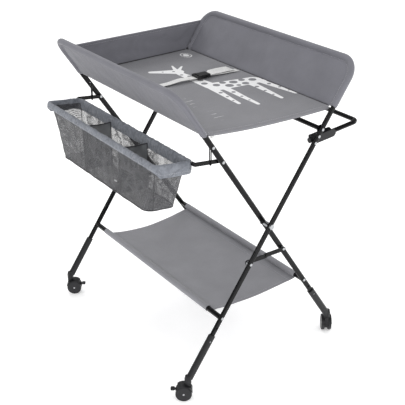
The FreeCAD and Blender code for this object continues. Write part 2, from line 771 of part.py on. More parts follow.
# ---------------------------------------------------------------- feet
def foot_solid(frame, end):
    """Plastic foot: a sleeve around the leg's end and an upright boss for the caster's stem."""
    sign = end_sign[end]
    y = sign * leg_y[frame]
    sleeve = flat_oval(foot_width, foot_thickness, -foot_end_reach, -foot_top_reach, y)
    lean_over(sleeve, frame)
    stem_x = stem_place(frame, end).x
    boss = Part.makeCylinder(boss_radius, boss_height, V(stem_x, y, boss_bottom))
    neck_top = boss_bottom + boss_height
    neck = Part.makeCone(boss_radius, foot_thickness / 2, neck_length, V(stem_x, y, neck_top))
    floor_cut = Part.makeBox(400, 100, 100, V(stem_x - 200, y - 50, boss_bottom - 100))
    body = sleeve.cut(floor_cut).fuse([boss, neck]).removeSplitter()
    cavity_end = leg_foot_end + foot_travel + side_clearance
    cavity = flat_oval(leg_width + 2 * foot_clearance, leg_thickness + 2 * foot_clearance,
                       -cavity_end, -foot_top_reach + 1, y)
    hole = cylinder_y(button_radius + button_clearance, min(y, y + sign * foot_thickness),
                      max(y, y + sign * foot_thickness), 0, -button_reach)
    groove_radius = button_radius + groove_clearance
    groove_depth = leg_thickness / 2 + button_proud + groove_clearance
    groove_low = -button_reach - foot_travel - groove_radius
    groove_ends = sorted((y, y + sign * groove_depth))
    groove = Part.makeBox(2 * groove_radius, groove_ends[1] - groove_ends[0],
                          foot_travel + 2 * groove_radius,
                          V(-groove_radius, groove_ends[0], groove_low))
    for cutter in (cavity, hole, groove):
        body = body.cut(lean_over(cutter, frame))
    bore = Part.makeCylinder(stem_radius + hole_clearance, stem_length + 0.5,
                             V(stem_x, y, boss_bottom))
    return body.cut(bore)


def stem_place(frame, end):
    """Where a caster's swivel axis meets the floor."""
    height = boss_bottom + boss_height / 2
    return V(leg_x(frame, height), end_sign[end] * leg_y[frame], 0)


def snap_button(frame, end):
    """Button that stands out of the leg into its foot, with a base inside the leg."""
    sign = end_sign[end]
    y = sign * leg_y[frame]
    outside = y + sign * (leg_thickness / 2 + button_proud)
    inner_wall = y + sign * (leg_thickness / 2 - leg_wall - button_clearance)
    base_end = inner_wall - sign * 1.5
    pin = sorted((inner_wall, outside))
    base = sorted((base_end, inner_wall))
    body = cylinder_y(button_radius, pin[0], pin[1], 0, -button_reach)
    body = body.fuse(cylinder_y(button_base, base[0], base[1], 0, -button_reach))
    return lean_over(body.removeSplitter(), frame)


# ---------------------------------------------------------------- casters
def caster_place(shape, frame, end):
    """Caster parts are drawn with the stem's axis at the origin and the trail along +X."""
    shape.rotate(V(0, 0, 0), Z_AXIS, caster_heading[frame + "_" + end])
    shape.translate(stem_place(frame, end))
    return shape


axle_length = wheel_gap + 2 * wheel_width
axle_centre = V(caster_trail, 0, wheel_radius)


def caster_housing():
    """Middle web with a stem on top and a hood over the two wheels."""
    web_width = wheel_gap - 2 * side_clearance
    outline = cylinder_y(wheel_radius - 6.0, -web_width / 2, web_width / 2,
                         axle_centre.x, axle_centre.z)
    column = box(2 * stem_radius + 8.0, web_width, wheel_radius,
                 V(0, 0, shoulder_height - wheel_radius / 2))
    hood_width = axle_length
    ring = cylinder_y(hood_radius, -hood_width / 2, hood_width / 2, axle_centre.x, axle_centre.z)
    ring = ring.cut(cylinder_y(hood_radius - hood_wall + 0.3, -hood_width, hood_width,
                               axle_centre.x, axle_centre.z))
    keep = box(2 * hood_radius, hood_width + 2, hood_radius,
               V(axle_centre.x - 9.0, 0, axle_centre.z + 9.0 + hood_radius / 2))
    hood = ring.common(keep)
    web_filler = cylinder_y(hood_radius - 1.0, -web_width / 2, web_width / 2,
                            axle_centre.x, axle_centre.z)
    web_filler = web_filler.common(box(4 * hood_radius, web_width, 2 * hood_radius,
                                       V(axle_centre.x, 0, axle_centre.z + hood_radius)))
    web_filler = web_filler.cut(box(30.0, web_width + 2, 30.0,
                                    V(axle_centre.x + 27.0, 0, axle_centre.z + 12.0)))
    shoulder = Part.makeCylinder(boss_radius - 1.0, 4.0, V(0, 0, shoulder_height - 4.0))
    stem = Part.makeCylinder(stem_radius, stem_length + boss_gap, V(0, 0, shoulder_height))
    body = outline.fuse([column, hood, web_filler, shoulder, stem]).removeSplitter()
    bore = cylinder_y(axle_radius + hole_clearance, -hood_width, hood_width,
                      axle_centre.x, axle_centre.z)
    body = body.cut(bore)
    pedal_hole = cylinder_y(pedal_pin_radius + hole_clearance, -hood_width, hood_width,
                            pedal_pivot.x, pedal_pivot.z)
    slot_low = pedal_pivot.z - pedal_thickness / 2 - pedal_swing_room
    slot_high = pedal_pivot.z + pedal_thickness / 2 + pedal_swing_room
    slot = Part.makeBox(hood_radius, pedal_lever_width + 2 * side_clearance,
                        slot_high - slot_low,
                        V(pedal_pivot.x - 4.5, -pedal_lever_width / 2 - side_clearance, slot_low))
    return body.cut([pedal_hole, slot])


pedal_pivot = V(caster_trail + 9.0, 0, wheel_radius + 11.0)


def caster_wheels():
    """Two solid wheels with rounded treads, each with a bore for the axle."""
    solids = []
    for side in (-1, 1):
        middle = side * (wheel_gap + wheel_width) / 2
        wheel = cylinder_y(wheel_radius, middle - wheel_width / 2, middle + wheel_width / 2,
                           axle_centre.x, axle_centre.z)
        rims = [e for e in wheel.Edges if abs(e.Length - 2 * math.pi * wheel_radius) < 0.1]
        wheel = wheel.makeFillet(tyre_rounding, rims)
        bore = cylinder_y(axle_radius + hole_clearance, middle - wheel_width, middle + wheel_width,
                          axle_centre.x, axle_centre.z)
        solids.append(wheel.cut(bore))
    return Part.makeCompound(solids)


def caster_axle():
    return cylinder_y(axle_radius, -axle_length / 2, axle_length / 2,
                      axle_centre.x, axle_centre.z)


def caster_pedal():
    """Brake pedal on a cross pin behind the wheels, with a raised toe."""
    web_width = wheel_gap - 2 * side_clearance
    pin = cylinder_y(pedal_pin_radius, -web_width / 2, web_width / 2,
                     pedal_pivot.x, pedal_pivot.z)
    toe_start = caster_trail + wheel_radius + toe_gap
    low = pedal_pivot.z - pedal_thickness / 2
    lever = Part.makeBox(toe_start + 2.0 - pedal_pivot.x + 3.0, pedal_lever_width,
                         pedal_thickness, V(pedal_pivot.x - 3.0, -pedal_lever_width / 2, low))
    toe = Part.makeBox(pedal_length, pedal_width, pedal_toe, V(toe_start, -pedal_width / 2, low + 2))
    corners = [e for e in toe.Edges if abs(e.tangentAt(e.FirstParameter).z) > 0.9]
    toe = toe.makeFillet(pedal_toe, corners)
    lip = cylinder_y(pedal_toe / 2, -pedal_width / 2 + pedal_toe, pedal_width / 2 - pedal_toe,
                     toe_start + pedal_length - pedal_toe / 2, low + 2 + pedal_toe)
    return pin.fuse([lever, toe, lip]).removeSplitter()


# ---------------------------------------------------------------- build every node
nodes = {}
for end in end_sign:
    nodes["outer_leg_" + end] = leg("outer", end, leg_holes("outer"))
    nodes["inner_leg_" + end] = leg("inner", end, leg_holes("inner"))
    nodes["lock_link_outer_" + end] = lock_link("outer", end)
    nodes["lock_link_inner_" + end] = lock_link("inner", end)
    nodes["rail_bracket_" + end] = rail_bracket(end)
nodes["outer_hoop"] = hoop("outer")
nodes["inner_hoop"] = hoop("inner")
nodes["right_wing"] = wing("outer")
nodes["left_wing"] = wing("inner")
nodes["tray_crossbar"] = crossbar()
nodes["outer_shelf_tube"] = shelf_tube("outer", outer_shelf_reach)
nodes["inner_shelf_tube"] = shelf_tube("inner", inner_shelf_reach)
nodes["tray_floor"] = tray_floor()
nodes["back_wing"] = back_wing()
nodes["belt_left"] = belt(-1)
nodes["belt_right"] = belt(1)
nodes["buckle_socket"] = buckle_socket()
nodes["buckle_tongue"] = buckle_tongue()
nodes["shelf_cloth"] = shelf_cloth()
nodes["outer_rivets"] = outer_rivets()
nodes["inner_rivets"] = inner_rivets()
nodes["pivot_bolts"] = Part.makeCompound([pivot_bolt(end) for end in end_sign])
nodes["basket_frame"] = basket_frame()
nodes["basket_bag"] = basket_bag()
nodes["basket_band"] = basket_band_cloth()
nodes["basket_dividers"] = basket_dividers()
nodes["basket_hooks"] = Part.makeCompound([basket_hook(end) for end in end_sign])
nodes["towel_rail"] = towel_rail()
nodes["rail_caps"] = rail_caps()
for frame in lean:
    for end in end_sign:
        corner = frame + "_" + end
        nodes["foot_" + corner] = foot_solid(frame, end)
        nodes["snap_button_" + corner] = snap_button(frame, end)
        nodes["caster_housing_" + corner] = caster_place(caster_housing(), frame, end)
        nodes["caster_wheels_" + corner] = caster_place(caster_wheels(), frame, end)
        nodes["caster_axle_" + corner] = caster_place(caster_axle(), frame, end)
        nodes["caster_pedal_" + corner] = caster_place(caster_pedal(), frame, end)

whole = FreeCAD.BoundBox()
for shape in nodes.values():
    whole.add(shape.optimalBoundingBox(False))
origin = V((whole.XMin + whole.XMax) / 2, (whole.YMin + whole.YMax) / 2, whole.ZMin)

os.makedirs("parts", exist_ok=True)
for name, shape in nodes.items():
    shape.translate(origin * -1)
    shape.exportStep("parts/" + name + ".step")
    print(name, "valid" if shape.isValid() else "INVALID", len(shape.Solids),
          round(shape.Volume / 1000, 1), "cm3")
print("origin moved by", [round(value, 3) for value in origin * -1])
print("size", round(whole.XLength, 1), round(whole.YLength, 1), round(whole.ZLength, 1))
print(len(nodes), "nodes")
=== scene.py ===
# %% [markdown]
# # A folding changing table
# The real object is two bent steel frames crossed like scissors. Grey cloth is stretched between
# their tops to make a tray with raised sides, a mesh basket hangs on the left and a cloth shelf
# below. The hard pieces come from the CAD model, which is loaded as a fixed frame. Here the cloth
# is made, and every surface gets its finish.

# %% Load the frame
import json
import math

import bpy
import numpy as np
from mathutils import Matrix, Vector, noise


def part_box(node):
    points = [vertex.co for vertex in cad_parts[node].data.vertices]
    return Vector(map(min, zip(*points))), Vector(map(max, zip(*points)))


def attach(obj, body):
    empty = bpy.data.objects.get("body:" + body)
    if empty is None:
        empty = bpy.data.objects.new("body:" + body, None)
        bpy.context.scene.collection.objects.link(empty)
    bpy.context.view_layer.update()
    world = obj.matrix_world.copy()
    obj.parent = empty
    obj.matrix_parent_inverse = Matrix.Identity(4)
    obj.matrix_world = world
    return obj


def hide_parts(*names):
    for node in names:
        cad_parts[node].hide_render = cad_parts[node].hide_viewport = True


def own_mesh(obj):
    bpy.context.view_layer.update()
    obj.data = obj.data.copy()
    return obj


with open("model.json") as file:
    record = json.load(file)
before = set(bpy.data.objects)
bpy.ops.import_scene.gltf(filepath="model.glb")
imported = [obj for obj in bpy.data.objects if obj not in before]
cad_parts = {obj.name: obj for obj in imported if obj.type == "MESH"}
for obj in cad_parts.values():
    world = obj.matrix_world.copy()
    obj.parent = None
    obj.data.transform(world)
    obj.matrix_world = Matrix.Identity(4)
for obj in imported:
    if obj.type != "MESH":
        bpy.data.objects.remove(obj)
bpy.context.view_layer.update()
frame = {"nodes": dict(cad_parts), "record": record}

# %% [markdown]
# ## Where things are
# Places are read from the CAD model where it gives them: a hinge in the record tells where the two
# frames cross, and the boxes of the nodes give the cloth its edges. The frames' lean and the legs'
# spacing are given as numbers. All lengths are metres.

# %% The scissor and its two leaning planes
MM = 0.001
joints = {j["name"]: j for j in frame["record"]["behaviour"]["joints"]}
pivot = Vector(joints["scissor_fold"]["pos_m"])
LEAN = {"outer": math.radians(34.67), "inner": math.radians(-33.8)}
LEG_Y = {"outer": 375 * MM, "inner": 346 * MM}
FLOOR_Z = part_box("tray_floor")[1][2]


def on_plane(frame_name, y, reach, out=0.0):
    """A point of a leaning frame: y along the tray, reach up the leg, out along the normal."""
    a = LEAN[frame_name]
    return (pivot.x + reach * math.sin(a) + out * math.cos(a), y,
            pivot.z + reach * math.cos(a) - out * math.sin(a))


def crease_x(frame_name, z=FLOOR_Z):
    return pivot.x + math.tan(LEAN[frame_name]) * (z - pivot.z)


print("pivot", tuple(round(c, 4) for c in pivot), "floor", round(FLOOR_Z, 4))

# %% [markdown]
# ## Camera
# The camera comes early, so that every later step can be looked at from the same place. It stands
# in front and to the left, above the tray, with a long lens that keeps the legs nearly parallel.

# %% Camera
camera = bpy.data.objects.new("camera", bpy.data.cameras.new("camera"))
bpy.context.scene.collection.objects.link(camera)
camera.location = (-1.4912, -2.1471, 1.6936)
look = Vector((0.5202, 0.7345, -0.4359))
camera.rotation_euler = look.to_track_quat("-Z", "Y").to_euler()
camera.data.sensor_width = 36
camera.data.lens = 78.4
bpy.context.scene.camera = camera
print("camera", tuple(round(c, 3) for c in camera.location))

# %% [markdown]
# ## Small tools
# A node tree reads best when every node is added the same way, so one function adds a node, sets
# its properties and plugs in its inputs. Colours are written as the hex numbers of a paint card,
# and one function turns them into the linear light values that a renderer works with.


# %% Tools for materials
def linear(code):
    values = [int(code[i:i + 2], 16) / 255 for i in (1, 3, 5)]
    return tuple(v / 12.92 if v <= 0.04045 else ((v + 0.055) / 1.055) ** 2.4
                 for v in values) + (1.0,)


def add(tree, kind, inputs=None, **settings):
    node = tree.nodes.new(kind)
    for name, value in settings.items():
        setattr(node, name, value)
    for name, value in (inputs or {}).items():
        if isinstance(value, bpy.types.NodeSocket):
            tree.links.new(value, node.inputs[name])
        else:
            node.inputs[name].default_value = value
    return node


def start_material(name, roughness, metallic=0.0, **sockets):
    material = bpy.data.materials.new(name)
    material.use_nodes = True
    shader = material.node_tree.nodes["Principled BSDF"]
    shader.inputs["Roughness"].default_value = roughness
    shader.inputs["Metallic"].default_value = metallic
    for socket, value in sockets.items():
        shader.inputs[socket.replace("_", " ")].default_value = value
    return material, material.node_tree, shader


def object_place(tree):
    return add(tree, "ShaderNodeTexCoord").outputs["Object"]


def maths(tree, operation, *values):
    return add(tree, "ShaderNodeMath", dict(enumerate(values)), operation=operation).outputs[0]


def noise_at(tree, place, scale, detail, **more):
    return add(tree, "ShaderNodeTexNoise",
               {"Vector": place, "Scale": scale, "Detail": detail, **more}).outputs["Fac"]


def yarns_at(tree, place, spacing_mm, direction, **more):
    """A wave at a spacing in mm; Blender's wave texture repeats every 0.314 / scale metres."""
    inputs = {"Vector": place, "Scale": 0.314 / (spacing_mm * MM)}
    inputs.update({name.replace("_", " "): value for name, value in more.items()})
    return add(tree, "ShaderNodeTexWave", inputs, bands_direction=direction).outputs["Fac"]


def remap(tree, value, **limits):
    """Map a value between limits named From_Min, From_Max, To_Min and To_Max."""
    inputs = {"Value": value}
    inputs.update({name.replace("_", " "): limit for name, limit in limits.items()})
    return add(tree, "ShaderNodeMapRange", inputs).outputs["Result"]


def bumped(tree, height, strength, depth_mm, under=None):
    inputs = {"Height": height, "Strength": strength, "Distance": depth_mm * MM}
    if under is not None:
        inputs["Normal"] = under
    return add(tree, "ShaderNodeBump", inputs).outputs["Normal"]


def mixed(tree, factor, first, second):
    return add(tree, "ShaderNodeMix", {0: factor, 6: first, 7: second},
               data_type="RGBA").outputs[2]


def two_tones(tree, factor, dark, light):
    """Colour that runs between two paint-card colours as factor goes from 0 to 1."""
    return mixed(tree, factor, linear(dark), linear(light))


def plug(tree, shader, **values):
    for name, value in values.items():
        tree.links.new(value, shader.inputs[name.replace("_", " ")])


# %% [markdown]
# ## Woven polyester
# The tray, wings and shelf are a coated oxford cloth: fine polyester yarn in a plain weave. Its
# look is a flat grey with a faint grain and soft, broad unevenness. The real yarns are 0.5 mm
# apart, too fine to show at this size, so they are drawn 2.4 mm apart. A wave along each
# direction of the cloth makes the yarns, and a broad noise makes the unevenness. The coating
# gives a slight sheen at grazing angles. The basket's band is the same cloth gathered hard, so
# a twisted noise adds its creases as bumps. The same noise also paints the creases' light and
# dark sides into the colour, as painted highlight and painted shade.

# %% Woven cloth material
YARN_MM = 2.4


def woven_cloth(name, dark, light, directions, crumple_mm=1.0, wrinkle_mm=0.0, ink=False):
    material, tree, shader = start_material(name, 0.78, Sheen_Weight=0.18,
                                            Sheen_Roughness=0.45)
    place = object_place(tree)
    yarns = [yarns_at(tree, place, YARN_MM, d, Distortion=0.6, Detail=1.0, Detail_Scale=2.0)
             for d in directions]
    weave = maths(tree, "MULTIPLY", *yarns)
    broad = noise_at(tree, place, 14.0, 3.0)
    grain = noise_at(tree, place, 420.0, 2.0)
    tone = maths(tree, "MULTIPLY", broad, 0.62)
    tone = maths(tree, "MULTIPLY_ADD", grain, 0.25, tone)
    tone = maths(tree, "MULTIPLY_ADD", weave, 0.16, tone)
    normal = bumped(tree, weave, 0.35, 0.4)
    normal = bumped(tree, broad, 0.5, crumple_mm, normal)
    if wrinkle_mm:
        wrinkles_and_shade = noise_at(tree, place, 42.0, 4.0, Distortion=1.8)
        # The crease noise sets the colour too: painted highlight on the ridges, painted shade in
        # the hollows.
        tone = maths(tree, "MULTIPLY_ADD", wrinkles_and_shade, 1.1, -0.05)
        normal = bumped(tree, wrinkles_and_shade, 0.9, wrinkle_mm, normal)
    colour = two_tones(tree, tone, dark, light)
    if ink:
        colour = printed(tree, place, colour)
    plug(tree, shader, Base_Color=colour, Normal=normal)
    return material


def printed(tree, place, cloth_colour):
    """White screen-print ink over the cloth where the mesh's ink attribute is above zero."""
    ink = add(tree, "ShaderNodeAttribute", attribute_name="ink_mm").outputs["Fac"]
    edge = remap(tree, ink, From_Min=-0.4, From_Max=0.4)
    white = two_tones(tree, noise_at(tree, place, 300.0, 2.0), "#cfcfd1", "#f2f2f2")
    return mixed(tree, edge, cloth_colour, white)


tray_cloth = woven_cloth("oxford_tray", "#626268", "#7b7b83", "YZ")
floor_cloth = woven_cloth("oxford_floor_printed", "#6a6a6e", "#828287", "XY", ink=True)
shelf_weave = woven_cloth("oxford_shelf", "#76767a", "#909095", "XY")
# The band's dark and light colours are painted shade and painted highlight of its creases.
band_cloth = woven_cloth("gathered_band", "#50545c", "#92969e", "YZ", crumple_mm=2.4,
                         wrinkle_mm=9.0)
print("cloth materials", [m.name for m in (tray_cloth, floor_cloth, shelf_weave, band_cloth)])

# %% [markdown]
# ## Knitted mesh
# The basket's walls are an open knitted net: mostly holes, so whatever is behind shows through in
# a grey haze. The real holes are 1.5 mm across. They are drawn 2.6 mm apart with a cell texture:
# the cells' edges are yarn and almost solid, and their middles let about half of the light past.
# The share varies with a broad noise, because slack net is seen at a slant in places and looks
# denser there.

# %% Knitted mesh material
HOLE_MM = 2.6


def knitted_mesh(name, dark, light, yarn_share, haze):
    material, tree, shader = start_material(name, 0.7, Sheen_Weight=0.1)
    place = object_place(tree)
    cells = add(tree, "ShaderNodeTexVoronoi", {"Vector": place, "Scale": 1 / (HOLE_MM * MM),
                                               "Randomness": 0.35},
                feature="DISTANCE_TO_EDGE").outputs["Distance"]
    folds = noise_at(tree, place, 26.0, 2.5, Distortion=1.2)
    thin = remap(tree, folds, From_Min=0.35, From_Max=0.65, To_Min=haze + 0.2,
                 To_Max=haze - 0.1)
    cover = remap(tree, cells, From_Min=yarn_share, From_Max=yarn_share + 0.06, To_Min=0.94,
                  To_Max=thin)
    plug(tree, shader, Base_Color=two_tones(tree, folds, dark, light), Alpha=cover,
         Normal=bumped(tree, cover, 0.4, 0.5))
    return material


side_mesh = knitted_mesh("knitted_side", "#28282b", "#5a5a5e", 0.10, 0.46)
floor_mesh = knitted_mesh("knitted_dense", "#323235", "#56565a", 0.22, 0.6)
wall_mesh = knitted_mesh("knitted_divider", "#4b4d50", "#6e7174", 0.26, 0.78)

# %% [markdown]
# ## Webbing, binding and thread
# The belt is white polypropylene webbing, woven in ribs across its width. The seams are finished
# with a narrow dark binding tape, and the topstitching is a slightly lighter grey thread.


# %% Webbing and binding materials
def webbing(name, dark, light, rib_mm, direction):
    material, tree, shader = start_material(name, 0.6, Sheen_Weight=0.1)
    place = object_place(tree)
    ribs = yarns_at(tree, place, rib_mm, direction)
    tone = maths(tree, "MULTIPLY", ribs, noise_at(tree, place, 60.0, 3.0))
    plug(tree, shader, Base_Color=two_tones(tree, tone, dark, light),
         Normal=bumped(tree, ribs, 0.5, 0.4))
    return material


belt_webbing = webbing("polypropylene_webbing", "#c4c4c4", "#f4f4f2", 2.0, "X")
binding = webbing("binding_tape", "#2a2a2d", "#3c3c40", 1.5, "Y")
thread = webbing("topstitch_thread", "#9c9ca2", "#b4b4ba", 0.8, "Y")

# %% [markdown]
# ## Powder-coated steel, moulded plastic and rivets
# The tubes are black powder coat on steel: a paint baked from powder, smooth but with a faint
# orange peel that breaks up its highlights. The feet and casters are black-grey nylon and ABS,
# moulded in a spark-eroded tool that leaves a fine matte texture. Rivets are bare zinc-plated
# steel, pressed into a dome.


# %% Hard materials
def coated(name, dark, light, roughness, peel_mm, strength, specular=0.35):
    material, tree, shader = start_material(name, roughness, IOR=1.5,
                                            Specular_IOR_Level=specular)
    place = object_place(tree)
    peel = noise_at(tree, place, 1 / (peel_mm * MM), 2.0)
    scuffs = noise_at(tree, place, 35.0, 6.0, Roughness=0.7)
    plug(tree, shader, Base_Color=two_tones(tree, scuffs, dark, light),
         Roughness=remap(tree, scuffs, To_Min=roughness - 0.07, To_Max=roughness + 0.12),
         Normal=bumped(tree, peel, strength, 0.15))
    return material


def zinc_plate(name):
    material, tree, shader = start_material(name, 0.3, metallic=1.0)
    bloom = noise_at(tree, object_place(tree), 700.0, 3.0)
    plug(tree, shader, Base_Color=two_tones(tree, bloom, "#8f9194", "#d4d6d8"),
         Roughness=remap(tree, bloom, To_Min=0.2, To_Max=0.45))
    return material


powder_black = coated("powder_coat_black", "#050506", "#0f0f11", 0.2, 1.2, 0.2, specular=0.2)
nylon_black = coated("moulded_nylon", "#121214", "#222225", 0.45, 0.6, 0.5)
wheel_grey = coated("moulded_wheel", "#171719", "#29292c", 0.42, 0.8, 0.3)
buckle_black = coated("acetal_buckle", "#0d0d0e", "#202022", 0.3, 0.8, 0.2)
zinc = zinc_plate("zinc_plated_rivet")

finish_of_slot = {"powder_black": powder_black, "plastic_dark": nylon_black,
                  "rivet_steel": zinc, "tray_cloth": tray_cloth, "shelf_cloth": shelf_weave,
                  "band_cloth": band_cloth, "mesh": side_mesh, "webbing": belt_webbing,
                  "buckle_plastic": buckle_black, "wheel_plastic": wheel_grey}
for part in frame["record"]["subparts"]:
    node = frame["nodes"][part["node"]]
    for place in node.material_slots:
        place.material = finish_of_slot[part["material_slot"]]

# %% [markdown]
# ## Making cloth
# A piece of cloth starts as a grid of points that follows how the real one is cut and held. The
# grid becomes a mesh, and small noise moves stand for the slack that no real sewing avoids.
# Tubes of thread, binding and piping follow a line of points with a ring at each.


# %% Tools for meshes
def mesh_piece(name, vertices, faces, material):
    mesh = bpy.data.meshes.new(name)
    mesh.from_pydata([tuple(v) for v in vertices], [], faces)
    mesh.validate()
    mesh.update()
    piece = bpy.data.objects.new(name, mesh)
    bpy.context.scene.collection.objects.link(piece)
    mesh.materials.append(material)
    mesh.polygons.foreach_set("use_smooth", [True] * len(mesh.polygons))
    return piece


def grid_faces(rows, columns, start=0, around=False, flip=False):
    faces = []
    for i in range(rows - 1):
        for j in range(columns if around else columns - 1):
            a = start + i * columns + j
            b = start + i * columns + (j + 1) % columns
            ring = (a, b, b + columns, a + columns)
            faces.append(ring[::-1] if flip else ring)
    return faces


def thin_body(name, front, back, material):
    """A closed thin body from two grids that meet along their border."""
    rows, columns = front.shape[:2]
    count = rows * columns
    vertices = np.concatenate([front.reshape(-1, 3), back.reshape(-1, 3)])
    faces = grid_faces(rows, columns) + grid_faces(rows, columns, count, flip=True)
    border = ([(0, j) for j in range(columns)] + [(i, columns - 1) for i in range(1, rows)]
              + [(rows - 1, j) for j in range(columns - 2, -1, -1)]
              + [(i, 0) for i in range(rows - 2, 0, -1)])
    for (i, j), (k, m) in zip(border, border[1:] + border[:1]):
        a, b = i * columns + j, k * columns + m
        faces.append((b, a, a + count, b + count))
    return mesh_piece(name, vertices, faces, material)


def cord_along(name, points, radius, material, sides=8, closed=False):
    """A thin tube along a line of points, such as piping, binding or a run of thread."""
    line = np.asarray(points, float)
    count = len(line)
    vertices = []
    up = Vector((0.03, 0.05, 1)).normalized()
    for i in range(count):
        before = line[i - 1] if i or closed else line[0]
        after = line[(i + 1) % count] if i < count - 1 or closed else line[-1]
        ahead = Vector(after - before).normalized()
        side = ahead.cross(up)
        if side.length < 0.05:
            side = ahead.cross(Vector((1, 0, 0)))
        side.normalize()
        other = side.cross(ahead)
        for k in range(sides):
            turn = 2 * math.pi * k / sides
            vertices.append(Vector(line[i]) + side * (radius * math.cos(turn))
                            + other * (radius * math.sin(turn)))
    faces = []
    for i in range(count if closed else count - 1):
        for k in range(sides):
            a, b = i * sides + k, i * sides + (k + 1) % sides
            c = ((i + 1) % count) * sides
            faces.append((a, b, c + (k + 1) % sides, c + k))
    if not closed:
        faces += [tuple(range(sides))[::-1], tuple(range((count - 1) * sides, count * sides))]
    return mesh_piece(name, vertices, faces, material)


def carried(piece, body, stands_for=None):
    """The piece moves with a body and may stand for a CAD node, whose part is then hidden."""
    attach(piece, body)
    if stands_for:
        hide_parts(stands_for)
    return piece


def along(points, step):
    """Points every step metres along a line."""
    line = np.asarray(points, float)
    far = np.concatenate([[0], np.cumsum(np.linalg.norm(np.diff(line, axis=0), axis=1))])
    at = np.arange(0, far[-1], step)
    return np.stack([np.interp(at, far, line[:, k]) for k in range(3)], 1)


def topstitch(name, points):
    """A row of lockstitches: 4 mm of thread, then a 2 mm gap, lying on the cloth."""
    spots = along(points, 1 * MM)
    vertices, faces = [], []
    for i in range(0, len(spots) - 6, 6):
        a, b = Vector(spots[i]), Vector(spots[i + 4])
        ahead = (b - a).normalized()
        side = ahead.cross(Vector((0.1, 0.2, 1))).normalized()
        other = side.cross(ahead)
        base = len(vertices)
        for centre, size in ((a, 0.25), (a.lerp(b, 0.3), 0.6), (a.lerp(b, 0.7), 0.6),
                             (b, 0.25)):
            for turn in range(6):
                angle = math.pi * turn / 3
                vertices.append(centre + (side * math.cos(angle)
                                          + other * math.sin(angle)) * size * MM)
        for ring in range(3):
            for k in range(6):
                p, q = base + ring * 6 + k, base + ring * 6 + (k + 1) % 6
                faces.append((p, q, q + 6, p + 6))
    return mesh_piece(name, vertices, faces, thread)


def slack(x, y, z, size, depth):
    """Smooth random offset: size is how wide a fold is, depth how high."""
    return depth * noise.noise(Vector((x, y, z)) / size)


def gathers(*cloth):
    """Each piece gets a mesh of its own."""
    for piece in cloth:
        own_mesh(piece)

# %% [markdown]
# ## The side wings
# Each wing is a cloth pocket pulled over a bent tube. Near the tube the cloth is round, with a
# seam just inside it, and between the tubes two layers with a thin sheet of foam lie flat. The
# grid follows that: its outer rows sit close together where the cloth turns round the tube, and
# the two top corners are rounded like the tube's bends.


# %% One wing
SLEEVE = 9.5 * MM
BEND = 56 * MM
WING_REACH = 545 * MM
SEAM_TUCK = 1.5 * MM
WING_HALF = 3.3 * MM        # half the wing's thickness between its tubes
ROUND_IN = 1.5 * SLEEVE     # where the cloth leaves its tube
SEW_IN = 2.3 * SLEEVE       # where the sleeve is sewn


def wing_profile(inset):
    """Half the wing's thickness at a distance in from its outline."""
    if inset < ROUND_IN:
        return math.sqrt(max(SLEEVE ** 2 - (SLEEVE - inset) ** 2, 0))
    start = math.sqrt(SLEEVE ** 2 - (0.5 * SLEEVE) ** 2)
    t = min((inset - ROUND_IN) / (0.9 * SLEEVE), 1)
    groove = 1.2 * MM * math.exp(-((inset - SEW_IN) / (2.2 * MM)) ** 2)
    return start + (WING_HALF - start) * (t * t * (3 - 2 * t)) - groove


def edge_steps(low, high, count, both=True):
    """Steps along one side of the grid, close together near the outline."""
    lead = [SLEEVE * (1 - math.cos(math.pi * k / 14)) for k in range(10)]
    lead += [SLEEVE * s for s in (1.75, 2.0, 2.15, 2.3, 2.45, 2.7)]
    inner = np.linspace((low + lead[-1] + 4 * MM) if both else low + 6 * MM,
                        high - lead[-1] - 4 * MM, count)
    start = [low + s for s in lead] if both else [low, low + 0.6 * MM, low + 2 * MM]
    return np.array(start + list(inner) + [high - s for s in reversed(lead)])


def side_wing(name, frame_name):
    y_end = LEG_Y[frame_name] + SLEEVE
    top = WING_REACH + SLEEVE
    low = (FLOOR_Z - pivot.z) / math.cos(LEAN[frame_name]) - SEAM_TUCK
    ys = edge_steps(-y_end, y_end, 120)
    reaches = edge_steps(low, top, 18, both=False)
    corner = BEND + SLEEVE
    front = np.zeros((len(reaches), len(ys), 3))
    back = front.copy()
    inside = -1 if frame_name == "outer" else 1
    for i, reach in enumerate(reaches):
        for j, y in enumerate(ys):
            p, q = (abs(y) - (y_end - corner)) / corner, (reach - (top - corner)) / corner
            yy, rr = abs(y), reach
            if p > 0 and q > 0:
                u, v = p * math.sqrt(1 - q * q / 2), q * math.sqrt(1 - p * p / 2)
                yy, rr = y_end - corner + u * corner, top - corner + v * corner
                inset = corner * (1 - math.hypot(u, v))
            else:
                inset = min(y_end - yy, top - rr)
            half = wing_profile(max(inset, 0))
            rim = (rr - low) / (5 * MM)
            half *= math.sqrt(1 - (1 - min(rim, 1)) ** 2) * 0.75 + 0.25
            yy = math.copysign(yy, y)
            ease = min(inset / (3 * SLEEVE), 1) * min((rr - low) / (12 * MM), 1)
            wave = slack(yy, rr * 2.2, LEG_Y[frame_name], 90 * MM, 2.2 * MM)
            pull = slack(yy * 2.5, rr * 0.8, 3.0, 45 * MM, 0.7 * MM)
            shift = (wave + pull) * ease
            front[i, j] = on_plane(frame_name, yy, rr, inside * half + shift)
            back[i, j] = on_plane(frame_name, yy, rr, -inside * half + shift)
    return thin_body(name, front, back, tray_cloth)


def seam_line(frame_name, side):
    """The line where the sleeve is sewn, a little way in from the outline."""
    y_end, top = LEG_Y[frame_name] + SLEEVE, WING_REACH + SLEEVE
    low = (FLOOR_Z - pivot.z) / math.cos(LEAN[frame_name]) + 6 * MM
    corner = BEND + SLEEVE
    bend = corner - SEW_IN
    line = [(-y_end + SEW_IN, low), (-y_end + SEW_IN, top - corner)]
    line += [(-y_end + corner - bend * math.cos(t), top - corner + bend * math.sin(t))
             for t in np.linspace(0, math.pi / 2, 12)[1:]]
    line += [(-y, r) for y, r in reversed(line)]
    return [on_plane(frame_name, y, r, side * (wing_profile(SEW_IN) + 0.15 * MM))
            for y, r in line]


